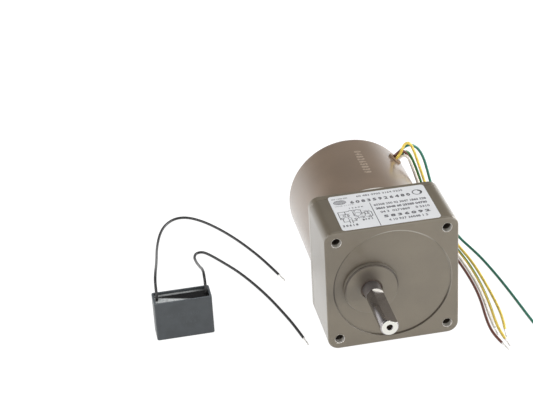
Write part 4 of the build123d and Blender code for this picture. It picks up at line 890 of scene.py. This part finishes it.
# ---- settings ----
def colour_setting(name, description, default):
    """A colour for the panel."""
    return FloatVectorProperty(name=name, description=description, default=default, size=4, min=0, max=1,
                               subtype="COLOR")


def number_setting(name, description, default, **more):
    """A number for the panel that isn't below 0."""
    return FloatProperty(name=name, description=description, default=default, min=0, **more)


def length_setting(name, description, default):
    """A length for the panel, in metres."""
    return number_setting(name, description, default, subtype="DISTANCE", unit="LENGTH")


class PaintSettings(bpy.types.PropertyGroup):
    """Colours of the painted castings."""

    case: colour_setting("Case", "Paint of the gear case and the flange", srgb(107, 98, 82))
    drum: colour_setting("Drum", "Paint of the motor's round housing", srgb(124, 107, 91))
    peel: number_setting("Orange peel", "Height of the paint's texture in millimetres", 0.006, max=0.1)


class LeadSettings(bpy.types.PropertyGroup):
    """Sizes and colours of the leads."""

    diameter: length_setting("Diameter", "Over the insulation", 1.3 * MM)
    tip_diameter: length_setting("Tip diameter", "Over the tinned strands", 0.8 * MM)
    tip_length: length_setting("Tip length", "Bare strands past the insulation", 6.0 * MM)
    twist: FloatProperty(name="Twist", description="Turns of the strands along the tip", default=1.1)
    steps: IntProperty(name="Steps", description="Rings on each stretch of a lead", default=8, min=2)
    sides: IntProperty(name="Sides", description="Sides of a lead's round section", default=20, min=6)
    brown: colour_setting("Brown", "Brown lead", srgb(102, 56, 42))
    white: colour_setting("White", "White lead", srgb(236, 232, 222))
    yellow: colour_setting("Yellow", "Yellow lead and the earth lead's stripe", srgb(232, 203, 88))
    green: colour_setting("Green", "Green lead", srgb(26, 110, 92))
    earth: colour_setting("Earth green", "Ground colour of the striped earth lead", srgb(38, 110, 44))
    black: colour_setting("Black", "Leads of the capacitor", srgb(28, 28, 29))


class LabelSettings(bpy.types.PropertyGroup):
    """Nameplate, print on the drum and print on the capacitor."""

    film: colour_setting("Film", "Nameplate's film", srgb(220, 221, 223))
    ink: colour_setting("Ink", "Nameplate's print", srgb(92, 92, 96))
    lift: length_setting("Lift", "Print above the surface that carries it", 0.015 * MM)


class StageSettings(bpy.types.PropertyGroup):
    """Floor and lamps."""

    floor: colour_setting("Floor", "Floor's own colour", (0.86, 0.86, 0.86, 1.0))
    key: number_setting("Key", "Left softbox in watts", 9.0)
    front: number_setting("Front", "Front softbox in watts", 4.3)
    low: number_setting("Low", "Low softbox at the front right, in watts", 2.4)
    top: number_setting("Top", "Top softbox in watts", 4.8)
    right: number_setting("Right", "Right softbox in watts", 15.0)
    world: number_setting("World", "Strength of the light all round", 0.12)


SETTINGS = {"motor_paint": PaintSettings, "motor_leads": LeadSettings, "motor_labels": LabelSettings,
            "motor_stage": StageSettings}


# ---- operators ----
# Softboxes: place and size in metres
SOFTBOXES = {
    "key": ((-0.95, 0.0, 0.45), (1.1, 0.7)),
    "front": ((-0.1, -1.1, 0.42), (1.1, 0.6)),
    "low": ((0.55, -0.75, 0.10), (0.5, 0.18)),
    "right": ((1.0, 0.25, 0.35), (0.9, 0.6)),
    "top": ((0.15, 0.35, 1.1), (1.2, 1.2)),
}
AIM = (0.0, 0.02, 0.03)     # what the softboxes face
WHITE = (1.0, 1.0, 1.0, 1.0)
FLOOR_GLOW = 1.2            # so that it shows white
FLOOR_SHARE = 0.8           # of the glow in what the camera and reflections see of the floor
HORIZON = 0.95              # strength of the world's light there; it fades up to the height HORIZON_TOP
HORIZON_TOP = 0.30


class MOTOR_OT_stage(bpy.types.Operator):
    """Adds the floor, the softboxes, the world's light and the camera"""

    bl_idname = "motor.stage"
    bl_label = "Stage"

    def execute(self, context):
        settings = context.scene.motor_stage
        add_camera()
        add_floor(settings.floor)
        for name, (at, size) in SOFTBOXES.items():
            add_softbox(name + "_softbox", at, size, getattr(settings, name))
        light_world(settings.world)
        context.scene.view_settings.view_transform = "Standard"
        return {"FINISHED"}


def add_camera():
    """Adds the camera and makes it the scene's."""
    camera = bpy.data.objects.new("camera", bpy.data.cameras.new("camera"))
    camera.data.lens, camera.data.sensor_width = LENS, SENSOR_WIDTH
    turn = Matrix((CAMERA_RIGHT, CAMERA_UP, [-v for v in CAMERA_LOOK])).transposed()
    camera.matrix_world = Matrix.Translation(CAMERA_AT) @ turn.to_4x4()
    bpy.context.scene.collection.objects.link(camera)
    bpy.context.scene.camera = camera


def add_floor(colour):
    """A pale floor that keeps the object's shadow and shows white to the camera and in reflections."""
    half, low = 3.0, -0.1 * MM
    corners = np.array([(-half, -half, low), (half, -half, low), (half, half, low), (-half, half, low)])
    floor = mesh_piece("floor", corners, [(0, 1, 2, 3)], smooth=False)
    f = Finish("floor_paper")
    grain = f.noise(60.0, 2.0)
    f.set(base_color=f.mix(grain, shade(colour, 0.99), colour), roughness=0.9)
    seen = f.arrives("Camera") + f.arrives("Glossy")
    glow = f.node("ShaderNodeEmission", {}, WHITE, FLOOR_GLOW)
    mixed = f.node("ShaderNodeMixShader", {}, seen * FLOOR_SHARE, Value(f, f.shader.outputs[0]), glow)
    f.feed(f.tree.nodes["Material Output"].inputs["Surface"], mixed)
    dress(["floor"], f.material)


def add_softbox(name, at, size, watts):
    """Adds a rectangular area lamp."""
    lamp = bpy.data.lights.new(name, "AREA")
    lamp.shape, lamp.size, lamp.size_y, lamp.energy = "RECTANGLE", *size, watts
    holder = bpy.data.objects.new(name, lamp)
    holder.rotation_euler = (Vector(AIM) - Vector(at)).to_track_quat("-Z", "Y").to_euler()
    holder.location = at
    bpy.context.scene.collection.objects.link(holder)


def light_world(strength):
    """Light all round, bright at the horizon and of that strength overhead. The camera sees white."""
    world = bpy.data.worlds.new("studio")
    world.use_nodes = True
    bpy.context.scene.world = world
    w = Nodes(world.node_tree)
    direction = w.node("ShaderNodeTexCoord", {}, out="Generated")
    height = w.node("ShaderNodeSeparateXYZ", {}, direction, out="Z")
    glow = w.node("ShaderNodeMapRange", {}, height, 0.0, HORIZON_TOP, HORIZON, strength)
    background = w.tree.nodes["Background"]
    w.feed(background.inputs["Color"], WHITE)
    seen = w.arrives("Camera").or_more(w.arrives("Transmission"))
    w.feed(background.inputs["Strength"], seen.or_more(glow))


class MOTOR_OT_motor_leads(bpy.types.Operator):
    """Adds the five flying leads of the motor, each with its tinned end"""

    bl_idname = "motor.motor_leads"
    bl_label = "Motor leads"

    def execute(self, context):
        settings = context.scene.motor_leads
        finishes = {name + "_lead": insulation(name + "_insulation", getattr(settings, name))
                    for name in ("brown", "white", "yellow", "green")}
        finishes["striped_lead"] = striped_insulation("earth_insulation", settings.earth, settings.yellow)
        tinned = tinned_strands("tinned_strands")
        for name, points in MOTOR_LEADS.items():
            slot = name.replace("lead", "wire")
            add_lead(name, points, "housing", slot, finishes[name], tinned, settings)
        return {"FINISHED"}


class MOTOR_OT_capacitor_leads(bpy.types.Operator):
    """Adds the two black leads of the capacitor, each with its tinned end"""

    bl_idname = "motor.capacitor_leads"
    bl_label = "Capacitor leads"

    def execute(self, context):
        settings = context.scene.motor_leads
        black = insulation("black_insulation", settings.black, 0.42)
        tinned = tinned_strands("capacitor_tinned_strands")
        for name, points in CAPACITOR_LEADS.items():
            add_lead(name, points, "capacitor", "black_wire", black, tinned, settings)
        return {"FINISHED"}


class MOTOR_OT_castings(bpy.types.Operator):
    """Paints the gear case, the flange, the housing and the rear bracket"""

    bl_idname = "motor.castings"
    bl_label = "Painted castings"

    def execute(self, context):
        settings = context.scene.motor_paint
        dress(["gear_case"], paint("gear_case_paint", settings.case, case_metal_and_highlights, settings.peel, case_painted_shade))
        dress(["front_bracket"], paint("flange_paint", settings.case, register_ring, settings.peel))
        dress(["motor_housing"], paint("drum_paint", settings.drum, drum_rim_highlight, settings.peel * 0.6))
        dress(["rear_bracket"], paint("rear_bracket_paint", settings.drum, None, settings.peel))
        return {"FINISHED"}


class MOTOR_OT_nameplate(bpy.types.Operator):
    """Finishes the nameplate and prints plain figures and a diagram on it"""

    bl_idname = "motor.nameplate"
    bl_label = "Nameplate"

    def execute(self, context):
        settings = context.scene.motor_labels
        dress(["rating_label"], film("nameplate_film", settings.film))
        level = LABEL_HIGH.z + settings.lift

        def on_label(x, y):
            """The rows' field is drawn out to the label's depth."""
            depth = (LABEL_HIGH.y - LABEL_LOW.y) / LABEL_DEPTH
            return np.stack([LABEL_LOW.x + x * MM, LABEL_LOW.y + y * depth, np.full_like(x, level)], axis=1)

        add_print("nameplate_print", nameplate_print(), on_label, ink("nameplate_ink", settings.ink),
                  "housing")
        return {"FINISHED"}


class MOTOR_OT_drum_number(bpy.types.Operator):
    """Prints a plain number along the top of the drum"""

    bl_idname = "motor.drum_number"
    bl_label = "Drum number"

    def execute(self, context):
        radius = DRUM_R + context.scene.motor_labels.lift

        def on_drum(x, y):
            """x runs forwards along the drum, and y backwards round it: the point is (r cos t, r sin t)."""
            turn = np.radians(DRUM_ROW_TURN) + (DRUM_ROW_RISE - y) * MM / DRUM_R
            return np.stack([radius * np.cos(turn), (DRUM_ROW_START - x) * MM,
                             AXIS_Z * MM + radius * np.sin(turn)], axis=1)

        add_print("drum_number", print_rows(DRUM_ROWS), on_drum, ink("drum_ink", srgb(156, 141, 126), 0.4),
                  "housing")
        return {"FINISHED"}


class MOTOR_OT_shaft(bpy.types.Operator):
    """Finishes the output shaft"""

    bl_idname = "motor.shaft"
    bl_label = "Output shaft"

    def execute(self, context):
        steel = turned_steel("output_shaft_steel", srgb(168, 164, 165), SHAFT_X, root=BOSS_FRONT + 0.3)
        dress(["output_shaft"], steel)
        return {"FINISHED"}


class MOTOR_OT_fasteners(bpy.types.Operator):
    """Finishes the screws and bolts that show"""

    bl_idname = "motor.fasteners"
    bl_label = "Fasteners"

    def execute(self, context):
        dress(["assembly_screws", "through_bolts", "cover_screws"],
              plated_steel("plated_screws", srgb(186, 184, 178)))
        dress(["lead_grommet"], rubber("grommet_rubber", srgb(150, 124, 100)))
        return {"FINISHED"}


class MOTOR_OT_capacitor(bpy.types.Operator):
    """Finishes the capacitor's case and resin, and prints faint plain figures on its front"""

    bl_idname = "motor.capacitor"
    bl_label = "Capacitor"

    def execute(self, context):
        dress(["capacitor_case"], moulded("capacitor_plastic", srgb(62, 66, 69), CAPACITOR_HIGH.z, 0.34))
        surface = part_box("capacitor_potting")
        dress(["capacitor_potting"], resin("capacitor_resin", srgb(14, 14, 15), *surface))
        front = CAPACITOR_LOW.y - context.scene.motor_labels.lift

        def on_front(x, y):
            """x runs from the case's left end, and y up from the floor."""
            return np.stack([CAPACITOR_LOW.x + x * MM, np.full_like(x, front), y * MM], axis=1)

        add_print("capacitor_print", print_rows(CAPACITOR_ROWS), on_front,
                  ink("capacitor_ink", srgb(70, 74, 77), 0.6), "capacitor")
        return {"FINISHED"}


class MOTOR_OT_inner_works(bpy.types.Operator):
    """Finishes the gears, bearings, windings and cores inside"""

    bl_idname = "motor.inner_works"
    bl_label = "Inner works"

    def execute(self, context):
        works = (
            (("gear_cover",), cast_metal("cover_casting", srgb(190, 190, 192))),
            (("arbor_bushes",), cast_metal("sintered_bronze", srgb(176, 132, 82), 0.4, 0.03)),
            (("rotor_cage",), cast_metal("rotor_casting", srgb(196, 197, 200), 0.38)),
            (("capacitor_end_spray",), cast_metal("sprayed_metal", srgb(170, 170, 174), 0.6, 0.05)),
            (("stator_core", "rotor_core"), laminations("core_sheets", srgb(136, 138, 142))),
            (("main_coils", "auxiliary_coils"), enamelled_wire("coil_wire", srgb(196, 110, 62))),
            (("slot_liners",), fibre("liner_paper", srgb(226, 218, 196))),
            (("output_seal", "pinion_seal"), rubber("seal_rubber", srgb(122, 102, 86))),
            (("capacitor_winding",), plated_steel("metallised_film", srgb(190, 190, 196), 0.2)),
            (("rotor_shaft",), turned_steel("rotor_shaft_steel", srgb(170, 168, 164), 0.0)),
            (("first_gear", "first_pinion_shaft", "second_gear", "second_pinion_shaft", "output_gear",
              "output_key", "output_spacer", "output_circlip", "wave_spring"),
             plated_steel("gear_steel", srgb(150, 148, 144), 0.3)),
            (tuple(side + part for side in ("output_bearing_", "rotor_bearing_")
                   for part in ("outer_rings", "inner_rings", "balls", "cages")),
             plated_steel("bearing_steel", srgb(214, 214, 216), 0.14)),
        )
        for names, material in works:
            dress(names, material)
        return {"FINISHED"}


OPERATORS = (
    MOTOR_OT_stage, MOTOR_OT_motor_leads, MOTOR_OT_capacitor_leads, MOTOR_OT_castings,
    MOTOR_OT_nameplate, MOTOR_OT_drum_number, MOTOR_OT_shaft, MOTOR_OT_fasteners, MOTOR_OT_capacitor,
    MOTOR_OT_inner_works,
)


class MOTOR_PT_panel(bpy.types.Panel):
    """Lists the motor's pieces in the sidebar"""

    bl_label = "Geared Motor"
    bl_idname = "MOTOR_PT_panel"
    bl_space_type = "VIEW_3D"
    bl_region_type = "UI"
    bl_category = "Geared Motor"

    def draw(self, context):
        for operator in OPERATORS:
            self.layout.operator(operator.bl_idname)
        for name in SETTINGS:
            settings = getattr(context.scene, name)
            box = self.layout.box()
            for key in settings.__annotations__:
                box.prop(settings, key)


def register():
    """Adds the classes and the settings to Blender."""
    for group in (*SETTINGS.values(), *OPERATORS, MOTOR_PT_panel):
        bpy.utils.register_class(group)
    for name, group in SETTINGS.items():
        setattr(bpy.types.Scene, name, PointerProperty(type=group))


def unregister():
    """Takes them out again."""
    for name in SETTINGS:
        delattr(bpy.types.Scene, name)
    for group in reversed((*SETTINGS.values(), *OPERATORS, MOTOR_PT_panel)):
        bpy.utils.unregister_class(group)


def main():
    """Runs every operator."""
    register()
    for operator in OPERATORS:
        category, name = operator.bl_idname.split(".")
        getattr(getattr(bpy.ops, category), name)()


if __name__ == "__main__":
    main()
